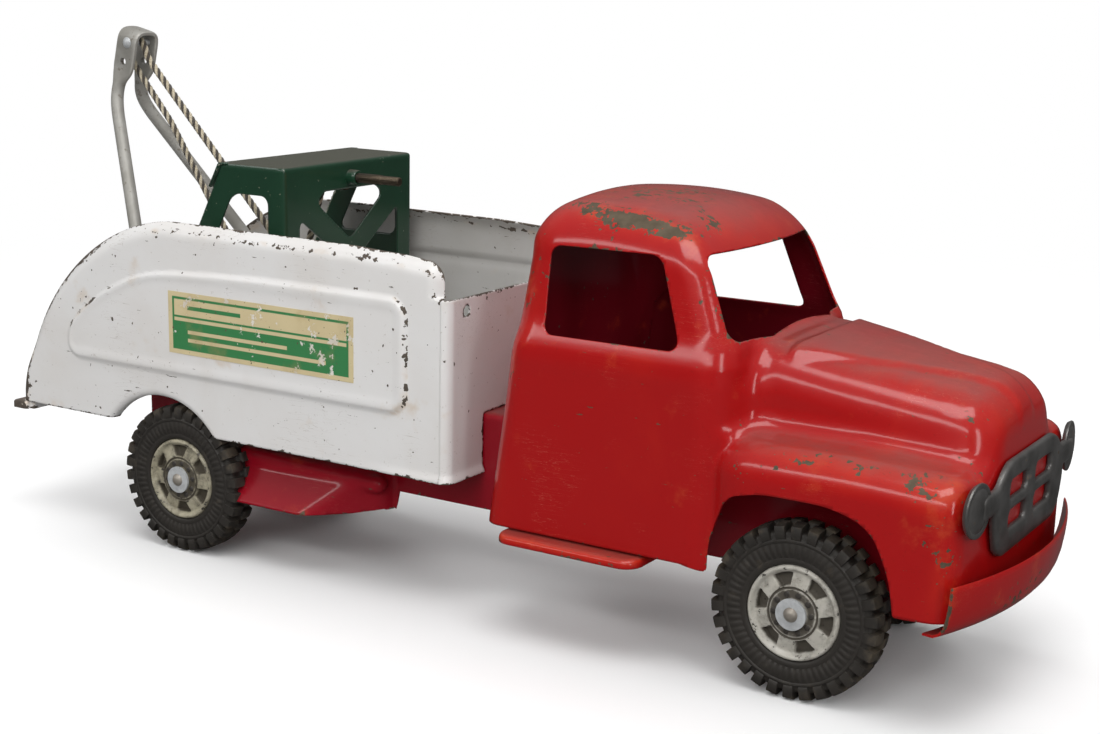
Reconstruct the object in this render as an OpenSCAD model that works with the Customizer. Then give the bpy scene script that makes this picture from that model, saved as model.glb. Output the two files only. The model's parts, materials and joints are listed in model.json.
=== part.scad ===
// Toy crane truck: pressed-steel tow truck with a winch tower and an A-frame boom.
// Millimetres. +X is forward, +Y is the truck's left, +Z is up. The origin lies on
// the ground, in the middle of the truck's length and width.

/* [Wheels] */
// Distance from the rear axle to the front axle
wheelbase = 375; // [372:1:377]
// Outer radius of the tyres
tyre_r = 42; // [41:0.5:42]
// Width of a tyre
tyre_w = 18; // [17:0.5:18]
// Radius of the seat between tyre and hub
rim_r = 23; // [22:0.5:24]
// Number of tread lugs round a tyre
lugs = 30; // [20:2:32]
// Radius of the axle rods
axle_r = 3; // [2.6:0.1:3.2]

/* [Chassis] */
// Half of the width of the chassis channel
chassis_half = 38.5; // [37:0.5:39]
// Height of the chassis channel's top above the ground
chassis_top = 102; // [101:0.5:102]
// Height of the chassis channel's lower edge above the ground
chassis_low = 50.5; // [49:0.5:52]
// Sheet thickness of the pressed panels
sheet = 1.2; // [1.2:0.1:1.5]

/* [Bed] */
// Half of the width over the bed's sides
bed_half = 71; // [70.8:0.1:71.5]
// Height of the bed sides' top edge
bed_top = 187.7; // [184:0.5:190]
// Height of the bed sides' lower edge
bed_low = 70.7; // [69:0.5:72]
// Width of the rolled top edge
roll_w = 10; // [8:0.5:11]

/* [Winch tower] */
// Half of the width over the tower
tower_half = 57; // [56:0.5:57]
// Height of the tower's top
tower_top = 221; // [219:0.5:224]
// Radius of the winch shaft
shaft_r = 2.75; // [2.5:0.05:3]
// Height of the winch shaft
shaft_z = 211.5; // [211:0.5:212]

/* [Boom] */
// Radius of the boom's bent rod
rod_r = 3.4; // [3:0.1:3.4]
// Height of the boom's top
boom_top = 289; // [284:1:292]
// Radius of the pins at the boom's feet
foot_r = 2.5; // [2.2:0.1:2.6]

/* [Hidden] */
$fn = 64;

// colours
RED = "#c0221b";
WHITE = "#e6e2da";
GREEN = "#12452c";
ALUMINIUM = "#a5a29b";
GUNMETAL = "#4a4843";
RUBBER = "#2b2926";
IVORY = "#b6ad97";
ZINC = "#c6c8ca";
CORD = "#b3a37d";

// fits
run = 0.05;    // radial clearance of everything that turns
lap = 0.1;     // air between pieces that only rest on each other
eps = 1;       // overshoot of cutting tools

// wheels and axles
rear_x = -170;
front_x = rear_x + wheelbase;
wheel_in = 51.2;
wheel_out = wheel_in + tyre_w;
washer_t = 1.2;
head_y = wheel_out + 0.2 + washer_t;

// chassis channel
chassis_back = -219.5;
chassis_front = 284;
web_in = chassis_half - sheet;

// bed: the tail follows a superellipse from the lower rear corner to the top edge
bed_tail = -291;
bed_nose = 9.5;
tail_len = 121;
tail_low = 72;
tail_power = 1.85;
floor_z = chassis_top + lap;
deck_z = floor_z + sheet;
wall_x = 14.9;
wall_top = 165;
corner_r = 5.4;
arch = [-181.3, 40.5, 48];           // centre x, centre z, radius

// tower: the rear legs lean forward as they rise
tower_x = -101.5;
tower_back = -144.5;
leg_lean = 0.51;
leg_w = 14;
brace_z = 169;
brace_deg = 37.5;
brace_w = 12.8;
post_w = 13;

// boom: legs run from the feet to the knees, the head is a flattened loop
foot = [-190.5, 65.4, 117];
knee = [-271, 8.6, 249];
head = [-259.5, 8.6, 277];
head_w = 15;
rivet = [-258.5, 0, 279];
eye = [-262.5, 0, 268];

// cord and hook
cord_r = 1.5;
cord_top = [-257.8, 0, 275.2];
cord_bend = [-148, 0, 164.6];
hook_top = [-261.1, 0, 263.5];
hook_eye = [-176.8, 0, 149.2];
drum_r = 6.5;

function leg_x(z) = tower_back - leg_lean * (tower_top - z);
function tail(a) = [bed_tail + tail_len - tail_len * pow(cos(a), 2 / tail_power),
                    tail_low + (bed_top - tail_low) * pow(sin(a), 2 / tail_power)];

// ---------- helpers ----------
// Plate in the XZ plane, from y = y0 to y = y0 + t
module side_plate(y0, t) {
    translate([0, y0 + t, 0]) rotate([90, 0, 0]) linear_extrude(t) children();
}

// Plate in the YZ plane, from x = x0 to x = x0 + t
module cross_plate(x0, t) {
    translate([x0, 0, 0]) rotate([90, 0, 90]) linear_extrude(t) children();
}

// Cylinder along Y, centred on y
module y_rod(r, len) {
    rotate([90, 0, 0]) cylinder(r = r, h = len, center = true);
}

// Cylinder along X, from x = 0 to x = len
module x_rod(r, len) {
    rotate([0, 90, 0]) cylinder(r = r, h = len);
}

// Round bar between two points
module bar(a, b, r) {
    d = b - a;
    len = norm(d);
    translate(a) rotate([0, acos(d[2] / len), atan2(d[1], d[0])]) cylinder(r = r, h = len);
}

module both_sides() {
    children();
    mirror([0, 1, 0]) children();
}

// Low dome along +Y, standing on y = 0
module dome(r, h) {
    big = (r * r + h * h) / (2 * h);
    intersection() {
        translate([0, h - big, 0]) sphere(big);
        translate([0, h / 2, 0]) y_rod(r, h);
    }
}

// ---------- chassis ----------
skirt_points = [[-122, 38, 68], [-122, 49, 65], [-122, 67, 36.5], [-122, 38, 36.5],
                [-84, 38, 68], [-84, 49, 63], [-84, 69, 36.5], [-84, 38, 36.5],
                [-61, 46, 60], [-47, 39, 58], [-50, 39, 38.5], [-61, 48.5, 38]];

module skirt_mass() {
    hull() for (p = skirt_points) translate(p) cube(1, center = true);
}

module skirt() {
    difference() {
        skirt_mass();
        translate([0, -sheet, -sheet]) skirt_mass();
        translate([-200, 0, 0]) cube([200, web_in + sheet / 2, chassis_top]);
    }
}

bed_rivet_spots = [[-70, 22], [-70, -22], [-5, 22], [-5, -22]];
rivet_r = 1.5;

module chassis_frame() {
    color(RED) difference() {
        union() {
            translate([chassis_back, -chassis_half, chassis_low])
                cube([chassis_front - chassis_back, 2 * chassis_half, chassis_top - chassis_low]);
            both_sides() skirt();
        }
        translate([chassis_back - eps, -web_in, chassis_low - eps])
            cube([chassis_front - chassis_back + 2 * eps, 2 * web_in,
                  chassis_top - chassis_low - sheet + eps]);
        // the nose of the channel steps down below the hood's grille opening
        translate([262, -50, 78]) cube([40, 100, 40]);
        for (p = bed_rivet_spots) translate([p[0], p[1], 90]) cylinder(r = rivet_r + run, h = 20);
    }
}

module axle_bracket(x) {
    ear_w = 30;
    ear_low = 33;
    top_z = 66;
    color(RED) difference() {
        translate([x - ear_w / 2, -web_in + lap, ear_low])
            cube([ear_w, 2 * (web_in - lap), top_z - ear_low]);
        translate([x - ear_w / 2 - eps, -web_in + lap + sheet, ear_low - eps])
            cube([ear_w + 2 * eps, 2 * (web_in - lap - sheet), top_z - ear_low - sheet + eps]);
        translate([x, 0, tyre_r]) y_rod(axle_r + run, 2 * chassis_half);
    }
}

module front_axle_bracket() axle_bracket(front_x);
module rear_axle_bracket() axle_bracket(rear_x);

module axle(x) {
    head_r = 3.5;
    color(ZINC) translate([x, 0, tyre_r]) {
        y_rod(axle_r, 2 * head_y);
        both_sides() translate([0, head_y, 0]) dome(head_r, 2.2);
    }
}

module front_axle() axle(front_x);
module rear_axle() axle(rear_x);

module ring(r_in, r_out, y0, t) {
    translate([0, y0 + t / 2, 0]) difference() {
        y_rod(r_out, t);
        y_rod(r_in, t + eps);
    }
}

module at_each_wheel() {
    for (x = [rear_x, front_x]) translate([x, 0, tyre_r]) both_sides() children();
}

module axle_spacers() {
    spacer_in = web_in + lap;
    color(ZINC) at_each_wheel()
        ring(axle_r + run, 5, spacer_in, wheel_in - lap - spacer_in);
}

module axle_washers() {
    color(ZINC) at_each_wheel() ring(axle_r + run, 7.5, wheel_out + lap, washer_t);
}

// ---------- wheels ----------
module tyre_profile() {
    // x is the radius, y runs from the inner to the outer side wall
    w = tyre_w;
    polygon([[rim_r, 2], [26, 0.8], [31, 0.2], [36.5, 0], [40, 0.6], [tyre_r, 2.2],
             [tyre_r, w - 2.2], [40, w - 0.6], [36.5, w], [31, w - 0.2], [26, w - 0.8],
             [rim_r, w - 2]]);
}

module tyre() {
    groove_depth = 3.2;
    pitch = 360 / lugs;
    groove_w = 3.1;
    color(RUBBER) difference() {
        rotate([90, 0, 0]) mirror([0, 0, 1]) rotate_extrude($fn = 96) tyre_profile();
        for (i = [0 : lugs - 1]) rotate([0, (i + 0.5) * pitch, 0]) {
            translate([-groove_w / 2, -eps, tyre_r - groove_depth])
                cube([groove_w, tyre_w * 0.42 + eps, groove_depth + eps]);
            rotate([0, pitch / 2, 0])
                translate([-groove_w / 2, tyre_w * 0.58, tyre_r - groove_depth])
                cube([groove_w, tyre_w * 0.42 + eps, groove_depth + eps]);
        }
    }
}

module hub_profile() {
    // x is the radius, y runs from the inner to the outer face; the back is hollow
    w = tyre_w;
    polygon([[axle_r + run, 0], [7, 0], [7, 13], [19, 13], [19, 1.5], [rim_r - lap, 1.5],
             [rim_r - lap, w - 1], [21.8, w], [20.3, w], [19.6, w - 2.5], [12.4, w - 1.2],
             [12, w], [axle_r + run, w]]);
}

module hub() {
    windows = 6;
    color(IVORY) difference() {
        rotate([90, 0, 0]) mirror([0, 0, 1]) rotate_extrude($fn = 96) hub_profile();
        for (i = [0 : windows - 1]) rotate([0, i * 360 / windows, 0])
            translate([0, 10, 0]) rotate([-90, 0, 0]) linear_extrude(tyre_w)
                polygon([[13.5, -2.2], [18.8, -4.6], [18.8, 4.6], [13.5, 2.2]]);
    }
}

module wheel_at(x, side) {
    translate([x, 0, tyre_r]) mirror([0, side < 0 ? 1 : 0, 0]) translate([0, wheel_in, 0])
        children();
}

module tyre_rear_right() wheel_at(rear_x, -1) tyre();
module tyre_rear_left() wheel_at(rear_x, 1) tyre();
module tyre_front_right() wheel_at(front_x, -1) tyre();
module tyre_front_left() wheel_at(front_x, 1) tyre();
module hub_rear_right() wheel_at(rear_x, -1) hub();
module hub_rear_left() wheel_at(rear_x, 1) hub();
module hub_front_right() wheel_at(front_x, -1) hub();
module hub_front_left() wheel_at(front_x, 1) hub();

// ---------- bumper and steps ----------
bumper_r = 224.7;
bumper_x = 299.5;
bumper_half = 83;

module front_bumper() {
    // the blade leans back towards its foot and ends in a flange under the cab
    half_deg = asin(bumper_half / bumper_r);
    low = 48.5;
    top = 74.5;
    flange = 15;
    color(RED) translate([bumper_x - bumper_r, 0, 0]) rotate([0, 0, -half_deg])
        rotate_extrude(angle = 2 * half_deg, $fn = 256) translate([bumper_r, 0])
            polygon([[-flange, low], [-9, low + 0.6], [-5.5, low + 2.4], [-3.2, low + 5.2],
                     [-2.2, low + 7.5], [-1.2, low + 11.5], [-0.4, low + 17.5], [0, top],
                     [-1.2, top], [-1.6, low + 17.5], [-2.4, low + 11.7], [-3.3, low + 8],
                     [-3.8, low + 6.1], [-6.2, low + 3.7], [-9.4, low + 1.9],
                     [-flange, low + 1.2]]);
}

module step_plate() {
    back = 51.5;
    front = 130.5;
    outer = 85;
    inner = chassis_half + lap;
    top = 55.8;
    low = 51.5;
    round_r = 9;
    color(RED) difference() {
        hull() {
            translate([back, inner, low]) cube([front - back, 1, top - low]);
            for (x = [back + round_r, front - round_r])
                translate([x, outer - round_r, low]) cylinder(r = round_r, h = top - low, $fn = 32);
        }
        hull() {
            translate([back + sheet, inner - eps, low - eps])
                cube([front - back - 2 * sheet, 1, top - low - sheet + eps]);
            for (x = [back + round_r, front - round_r])
                translate([x, outer - round_r, low - eps])
                    cylinder(r = round_r - sheet, h = top - low - sheet + eps, $fn = 32);
        }
    }
}

module left_step() step_plate();
module right_step() mirror([0, 1, 0]) step_plate();

// ---------- cab ----------
cab_t = 1.5;

// Rounded block: spheres of radius r - cut at the corners of a list of points, both sides
module soft_block(points, r, cut) {
    hull() for (p = points) for (s = [-1, 1])
        translate([p[0], s * p[1], p[2]]) sphere(r - cut, $fn = 28);
}

module cab_mass(cut) {
    // door sides and lower cab
    soft_block([[55, 66, 40], [59, 66, 108], [64.5, 64, 148], [156, 66, 40], [156, 66, 108],
                [148, 64, 148]], 10, cut);
    // greenhouse and roof
    soft_block([[74, 58, 135], [80, 45, 200], [152, 58, 135], [128, 45, 200],
                [95, 30, 201.5], [115, 30, 201.5]], 18, cut);
    // cowl and hood
    soft_block([[150, 34, 60], [164, 34, 145], [262, 32, 136], [270, 32, 60]], 16, cut);
    // pontoon fenders and nose
    soft_block([[160, 64, 40], [166, 64, 103], [250, 62, 103], [271, 59, 92], [272, 59, 40]], 15, cut);
}

module window_cuts() {
    // side windows
    side_plate(-100, 200) polygon([[74, 156], [142, 156], [145, 159], [136, 196], [132, 199],
                                   [76, 199], [72.5, 195], [71, 160]]);
    // windscreen
    cross_plate(140, 60) polygon([[-58, 163], [58, 163], [61, 166], [55, 195], [50, 198],
                                  [-50, 198], [-55, 195], [-61, 166]]);
}

module arch_cuts() {
    side_plate(-100, 200) polygon([[162, 30], [162, 71], [167, 89], [176, 96], [188, 99],
                                   [204, 99.7], [230, 98.5], [243, 94], [250, 84], [255, 66],
                                   [257.5, 55], [258, 30]]);
}

module below(z) {
    translate([0, -100, -50]) cube([320, 200, z + 50]);
}

module cab_shell() {
    low_rear = 57;
    low_front = 54.5;
    color(RED) difference() {
        cab_mass(0);
        cab_mass(cab_t);
        below(low_front);
        translate([0, -100, 0]) cube([162, 200, low_rear]);
        window_cuts();
        intersection() {
            arch_cuts();
            union() for (s = [-1, 1]) translate([150, s * 70 - 30, 0]) cube([150, 60, 120]);
        }
        // opening in the back, closed from inside by the back panel
        translate([20, 0, 0]) cross_plate(0, 60)
            polygon([[-58, 40], [58, 40], [58, 150], [40, 192], [-40, 192], [-58, 150]]);
    }
}

module cab_back_panel() {
    gap = 0.15;
    color(RED) difference() {
        cab_mass(cab_t + gap);
        translate([1.2, 0, 0]) cab_mass(cab_t + gap);
        below(66);
        translate([84, -100, 0]) cube([250, 200, 300]);
        translate([0, -100, 201]) cube([100, 200, 60]);
        for (s = [-1, 1]) translate([0, s * 110 - 46, 0]) cube([100, 92, 300]);
        translate([0, -chassis_half - 2 * lap, 0])
            cube([100, 2 * chassis_half + 4 * lap, chassis_top + 2 * lap]);
    }
}

// ---------- grille ----------
module grille_outline() {
    difference() {
        union() {
            polygon([[-33, 119.5], [33, 119.5], [40, 115], [50, 104], [50, 90], [41, 79],
                     [38, 76.5], [-38, 76.5], [-41, 79], [-50, 90], [-50, 104], [-40, 115]]);
            translate([-67, 100]) square([134, 10.5]);
        }
        for (s = [-1, 1]) {
            translate([s * 18.5 - 12, 102]) square([24, 8]);
            translate([s * 18.5 - 12, 88]) square([24, 7.5]);
        }
    }
}

module grille_headlights() {
    face_x = 287.4;
    plate_t = 2.5;
    lamp_y = 67;
    lamp_z = 105;
    lamp_r = 12.4;
    color(GUNMETAL) {
        cross_plate(face_x, plate_t) grille_outline();
        for (s = [-1, 1]) translate([face_x, s * lamp_y, lamp_z]) {
            x_rod(lamp_r, plate_t);
            rotate([0, 0, -90]) translate([0, plate_t, 0]) dome(lamp_r - 1.5, 2);
        }
    }
}

// ---------- bed ----------
module bed_outline() {
    steps = 16;
    polygon(concat(
        [[bed_tail, bed_low]],
        [for (i = [0 : steps]) tail(90 * i / steps)],
        [[-46, bed_top - 0.9], [-15, bed_top - 2.4], [0.5, bed_top - 4.9],
         [bed_nose, bed_top - 10], [bed_nose, bed_low]]));
}

module bed_side() {
    roll_z = 95;
    emboss = 1.2;
    color(WHITE) difference() {
        union() {
            side_plate(bed_half - sheet, sheet) bed_outline();
            difference() {
                side_plate(bed_half - roll_w, roll_w) bed_outline();
                side_plate(bed_half - roll_w - eps, roll_w + 2 * eps)
                    offset(delta = -sheet) bed_outline();
                translate([-400, 0, 0]) cube([500, 100, roll_z]);
                cube([50, 100, wall_top + 1]);
            }
            side_plate(bed_half - lap, emboss + lap) emboss_outline();
        }
        translate([arch[0], bed_half, arch[1]]) y_rod(arch[2], 30);
    }
}

module emboss_outline() {
    low = 103.5;
    high = 163;
    front = -11.5;
    corner = 12;
    polygon(concat(
        [[-252, low], [-254, low + 4], [-253.5, 118], [-233, 140.5], [-216.5, 150], [-193.5, 160],
         [-170, high]],
        [for (a = [90 : -15 : 0]) [front - corner + corner * cos(a), high - corner + corner * sin(a)]],
        [for (a = [0 : -15 : -90]) [front - corner + corner * cos(a), low + corner + corner * sin(a)]]));
}

module bed_side_left() bed_side();
module bed_side_right() mirror([0, 1, 0]) bed_side();

module label_plate() {
    color(CORD) side_plate(bed_half + 1.25, 0.3)
        translate([-171.5, 115.8]) square([128, 34.5]);
}

module left_label() label_plate();
module right_label() mirror([0, 1, 0]) label_plate();

// Front end of the bed seen from above, with rounded corners, reaching back to x = -20
module wall_plan(cut) {
    r = corner_r - cut;
    half = bed_half - cut;
    front = wall_x - cut;
    translate([-20, -half]) square([front - r + 20, 2 * half]);
    translate([-20, -half + r]) square([front + 20, 2 * (half - r)]);
    for (s = [-1, 1]) translate([front - r, s * (half - r)]) circle(r);
}

module bed_front_wall() {
    low = 72;
    color(WHITE) difference() {
        translate([0, 0, low]) linear_extrude(wall_top - low) wall_plan(0);
        translate([0, 0, low - eps]) linear_extrude(wall_top - low + 2 * eps) wall_plan(sheet);
        translate([-60, -100, 0]) cube([60 + bed_nose + lap, 200, 300]);
        translate([0, -chassis_half - 2 * lap, 0])
            cube([50, 2 * chassis_half + 4 * lap, chassis_top + 2 * lap]);
        for (s = [-1, 1]) translate([0, s * 55, 158]) x_rod(2, 30);
    }
}

module bed_floor() {
    half = bed_half - sheet - lap;
    back = bed_tail + 14;
    color(WHITE) difference() {
        union() {
            translate([back, -half, floor_z]) cube([-19 - back, 2 * half, sheet]);
            translate([0, 0, floor_z]) linear_extrude(sheet) wall_plan(sheet + lap);
            // apron that closes the tail below the deck
            side_plate(-half, 2 * half)
                polygon([[back, floor_z + sheet], [back + sheet, floor_z + sheet],
                         [bed_tail + 4 + sheet, 71], [bed_tail + 4, 71]]);
        }
        for (p = bed_rivet_spots) translate([p[0], p[1], 90]) cylinder(r = rivet_r + run, h = 20);
        for (p = tower_rivet_spots) for (s = [-1, 1])
            translate([p[0], s * p[1], 90]) cylinder(r = rivet_r + run, h = 20);
    }
}

module rear_sill() {
    half = bed_half - 0.5;
    depth = 12;
    height = 4.6;
    color(WHITE) translate([-299.5, -half, bed_low - 0.2 - height]) difference() {
        cube([depth, 2 * half, height]);
        translate([sheet, sheet, -eps]) cube([depth, 2 * half - 2 * sheet, height - sheet + eps]);
    }
}

// Rivet with a low head standing on z, and its shank down to z - depth
module rivet_at(x, y, z, depth) {
    translate([x, y, z]) {
        rotate([90, 0, 0]) dome(3, 1.6);
        translate([0, 0, -depth]) cylinder(r = rivet_r, h = depth + 0.5);
    }
}

module bed_rivets() {
    color(WHITE) for (p = bed_rivet_spots) rivet_at(p[0], p[1], deck_z + lap, 2 * sheet + 0.5);
}

// ---------- winch tower ----------
foot_w = 12;
tower_low = deck_z + lap;
tower_rivet_spots = [[-185, 50], [-112, 50]];

module leg_outline() {
    polygon([[tower_x, tower_low], [leg_x(tower_low), tower_low],
             [tower_back, tower_top], [tower_x, tower_top]]);
}

module side_openings() {
    // upper and lower opening of the side, leaving two posts and two rails
    for (span = [[172.5, 205], [122, 160]])
        polygon([[tower_x - 11, span[0]], [leg_x(span[0]) + leg_w, span[0]],
                 [leg_x(span[1]) + leg_w, span[1]], [tower_x - 11, span[1]]]);
}

module brace_openings() {
    half = tower_half - post_w;
    rise = tan(brace_deg);
    clear = brace_w / 2 / cos(brace_deg);
    span = 35;
    for (s = [-1, 1]) {
        // above and below the crossing
        polygon([[0, brace_z + s * clear],
                 [27.5, brace_z + s * (clear + 27.5 * rise)], [25, brace_z + s * span],
                 [-25, brace_z + s * span], [-27.5, brace_z + s * (clear + 27.5 * rise)]]);
        // beside the crossing
        polygon([[s * clear / rise, brace_z],
                 [s * half, brace_z + (half - clear / rise) * rise * 0.92],
                 [s * half, brace_z - (half - clear / rise) * rise * 0.92]]);
    }
}

module winch_tower() {
    flange = 12;
    color(GREEN) difference() {
        union() {
            // front plate, top plate and rear lip
            cross_plate(tower_x - sheet, sheet) translate([-tower_half, tower_low])
                square([2 * tower_half, tower_top - tower_low]);
            translate([tower_back, -tower_half, tower_top - sheet])
                cube([tower_x - tower_back, 2 * tower_half, sheet]);
            side_plate(-tower_half, 2 * tower_half)
                polygon([[tower_back, tower_top], [tower_back + sheet, tower_top],
                         [leg_x(tower_top - flange) + sheet, tower_top - flange],
                         [leg_x(tower_top - flange), tower_top - flange]]);
            both_sides() {
                side_plate(tower_half - sheet, sheet) difference() {
                    leg_outline();
                    side_openings();
                }
                translate([leg_x(tower_low) + 6, tower_half - foot_w, tower_low])
                    cube([tower_x - leg_x(tower_low) - 8, foot_w - 0.5, sheet]);
            }
        }
        cross_plate(tower_x - 2 * sheet, 3 * sheet) brace_openings();
        translate([tower_x - 5, 0, shaft_z]) x_rod(shaft_r + 1 + run, 10);
        translate([foot[0], 0, foot[2]]) y_rod(foot_r + run, 2 * tower_half + 10);
        for (p = tower_rivet_spots) for (s = [-1, 1])
            translate([p[0], s * p[1], 95]) cylinder(r = rivet_r + run, h = 20);
    }
}

module tower_rivets() {
    color(GREEN) for (p = tower_rivet_spots) for (s = [-1, 1])
        rivet_at(p[0], s * p[1], tower_low + sheet + lap, 2 * sheet + 0.6);
}

module shaft_bushing() {
    color(GREEN) translate([tower_x, 0, shaft_z]) difference() {
        union() {
            translate([-sheet - 1.5, 0, 0]) x_rod(shaft_r + 1, sheet + 3);
            translate([lap, 0, 0]) x_rod(5, 1.6);
        }
        translate([-10, 0, 0]) x_rod(shaft_r + run, 20);
    }
}

hanger_x = tower_back + 6;

module shaft_hanger() {
    low = 203;
    top = tower_top - sheet - lap;
    half = 13;
    color(GREEN) difference() {
        union() {
            translate([hanger_x, -half, low]) cube([sheet, 2 * half, top - low]);
            translate([hanger_x - 4, -half, top - sheet]) cube([4 + sheet, 2 * half, sheet]);
        }
        translate([hanger_x - 5, 0, shaft_z]) x_rod(shaft_r + run, 20);
    }
}

module crank_shaft() {
    tail_x = tower_back + 1.5;
    tip_x = -67.5;
    stub_len = 12;
    stub_r = 2.5;
    // the free end is turned down where a crank handle screws on
    color(GUNMETAL) translate([0, 0, shaft_z]) {
        translate([tail_x, 0, 0]) x_rod(shaft_r, tip_x - stub_len - tail_x);
        translate([tip_x - stub_len, 0, 0]) x_rod(stub_r, stub_len);
    }
}

module winch_drum() {
    back = hanger_x + sheet + 0.5;
    front = tower_x - sheet - 1.5 - 0.5;
    flange_t = 1.2;
    flange_r = 7.4;
    color(GUNMETAL) translate([back, 0, shaft_z]) difference() {
        union() {
            x_rod(drum_r, front - back);
            x_rod(flange_r, flange_t);
            translate([front - back - flange_t, 0, 0]) x_rod(flange_r, flange_t);
        }
        translate([-eps, 0, 0]) x_rod(shaft_r + 0.02, 60);
    }
}

// ---------- boom ----------
module boom_half() {
    pin_in = tower_half - sheet - 2;
    color(ALUMINIUM) {
        bar(foot, knee, rod_r);
        translate(foot) sphere(rod_r);
        translate(knee) sphere(rod_r);
        translate([foot[0], pin_in, foot[2]]) rotate([-90, 0, 0])
            cylinder(r = foot_r, h = foot[1] - pin_in);
    }
}

head_t = 3;

module head_plate() {
    // one flat cheek of the head, leaning as the head does
    side_plate(knee[1] - head_t / 2, head_t)
        polygon([[knee[0] - head_w / 2 + 1, knee[2] - 2], [knee[0] + head_w / 2 - 1, knee[2] - 5],
                 [head[0] + head_w / 2, head[2]], [head[0] - head_w / 2, head[2] + 3]]);
}

module boom_frame() {
    arch_r = knee[1] + head_t / 2;
    top = boom_top - arch_r;
    color(ALUMINIUM) difference() {
        union() {
            both_sides() {
                boom_half();
                head_plate();
            }
            // the loop over the top
            translate([head[0] + 1, 0, top]) rotate([0, 90, 0]) difference() {
                cylinder(r = arch_r, h = head_w - 1, center = true);
                cylinder(r = arch_r - head_t, h = head_w + 2, center = true);
                translate([0, -50, -50]) cube([100, 100, 100]);
            }
            both_sides() translate([head[0] + 1 - (head_w - 1) / 2, arch_r - head_t, head[2] - 3])
                cube([head_w - 1, head_t, top - head[2] + 3.01]);
        }
        translate([eye[0], 0, eye[2]]) y_rod(2.2, 40);
        translate([rivet[0], 0, rivet[2]]) y_rod(1.8 + run, 40);
    }
}

module boom_head_rivet() {
    half = knee[1] + head_t / 2;
    color(ZINC) translate(rivet) {
        y_rod(1.8, 2 * half + 0.4);
        both_sides() translate([0, half + lap, 0]) dome(3.2, 1.5);
    }
}

// Cord through a list of points, with a slightly fuller ball at each bend
module cord_path(points) {
    for (i = [0 : len(points) - 2]) bar(points[i], points[i + 1], cord_r, $fn = 24);
    for (i = [1 : len(points) - 2]) translate(points[i]) sphere(cord_r * 1.05, $fn = 24);
}

module winch_cord() {
    // straight stay to the tower, a slack bight, then up to the drum
    bight = [[-140, 0, 161.3], [-132.6, 0, 168.5]];
    drum_side = [-122, 0, shaft_z - drum_r - 4.5];
    color(CORD) cord_path(concat([cord_top, cord_bend], bight, [drum_side]));
}

module hook_cord() {
    color(CORD) cord_path([hook_top, [-234.9, 0, 234], [-208, 0, 194], hook_eye]);
}

module tow_hook() {
    wire = 1.6;
    u = (hook_eye - hook_top) / norm(hook_eye - hook_top);
    angle = atan2(u[0], -u[2]);
    color(GUNMETAL) translate(hook_eye) rotate([0, angle, 0]) translate([0, 0, -2.5]) {
        // eye, shank and open hook, hanging along -Z of this turned frame
        translate([0, 0, -3.5]) rotate([90, 0, 0]) rotate_extrude($fn = 48)
            translate([3, 0]) circle(wire, $fn = 24);
        translate([0, 0, -17]) cylinder(r = wire, h = 11);
        translate([5.5, 0, -17]) rotate([90, 0, 0]) rotate([0, 0, 180])
            rotate_extrude(angle = 215, $fn = 48) translate([5.5, 0]) circle(wire, $fn = 24);
    }
}

// ---------- the assembly ----------
chassis_frame();
front_axle_bracket();
rear_axle_bracket();
front_axle();
rear_axle();
axle_spacers();
axle_washers();
front_bumper();
cab_shell();
cab_back_panel();
grille_headlights();
right_step();
left_step();
bed_floor();
bed_side_right();
bed_side_left();
bed_front_wall();
rear_sill();
right_label();
left_label();
bed_rivets();
winch_tower();
tower_rivets();
shaft_bushing();
shaft_hanger();
crank_shaft();
winch_drum();
winch_cord();
boom_frame();
boom_head_rivet();
hook_cord();
tow_hook();
tyre_rear_right();
tyre_rear_left();
tyre_front_right();
tyre_front_left();
hub_rear_right();
hub_rear_left();
hub_front_right();
hub_front_left();
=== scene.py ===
"""Toy crane truck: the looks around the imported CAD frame. Lengths are millimetres until a mesh is made."""
import json
import math

import bpy
import numpy as np
from mathutils import Matrix, Vector
from mathutils.kdtree import KDTree


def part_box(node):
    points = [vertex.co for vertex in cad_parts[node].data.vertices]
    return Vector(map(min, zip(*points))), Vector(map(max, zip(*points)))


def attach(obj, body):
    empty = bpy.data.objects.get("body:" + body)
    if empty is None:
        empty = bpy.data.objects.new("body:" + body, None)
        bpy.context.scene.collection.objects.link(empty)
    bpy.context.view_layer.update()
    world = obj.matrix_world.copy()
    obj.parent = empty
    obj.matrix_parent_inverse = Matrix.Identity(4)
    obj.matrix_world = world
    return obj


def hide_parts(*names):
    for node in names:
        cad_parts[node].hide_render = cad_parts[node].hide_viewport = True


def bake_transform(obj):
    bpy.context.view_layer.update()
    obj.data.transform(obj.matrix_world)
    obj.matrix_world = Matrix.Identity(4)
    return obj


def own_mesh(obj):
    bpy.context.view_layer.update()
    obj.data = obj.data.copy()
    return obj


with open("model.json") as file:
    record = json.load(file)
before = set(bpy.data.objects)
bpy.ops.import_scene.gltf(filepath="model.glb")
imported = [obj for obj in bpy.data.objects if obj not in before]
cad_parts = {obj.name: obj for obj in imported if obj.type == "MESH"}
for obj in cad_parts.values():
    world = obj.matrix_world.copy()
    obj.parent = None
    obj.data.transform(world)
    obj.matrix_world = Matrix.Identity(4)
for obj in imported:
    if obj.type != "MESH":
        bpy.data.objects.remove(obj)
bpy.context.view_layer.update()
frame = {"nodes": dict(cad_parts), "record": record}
SLOTS = {row["node"]: row["material_slot"] for row in frame["record"]["subparts"]}
MM = 0.001


# ---------------------------------------------------------------- places from the frame
def box_mm(node):
    """Lowest and highest corner of a CAD node, in millimetres."""
    low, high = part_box(node)
    return np.array(low) / MM, np.array(high) / MM


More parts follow.
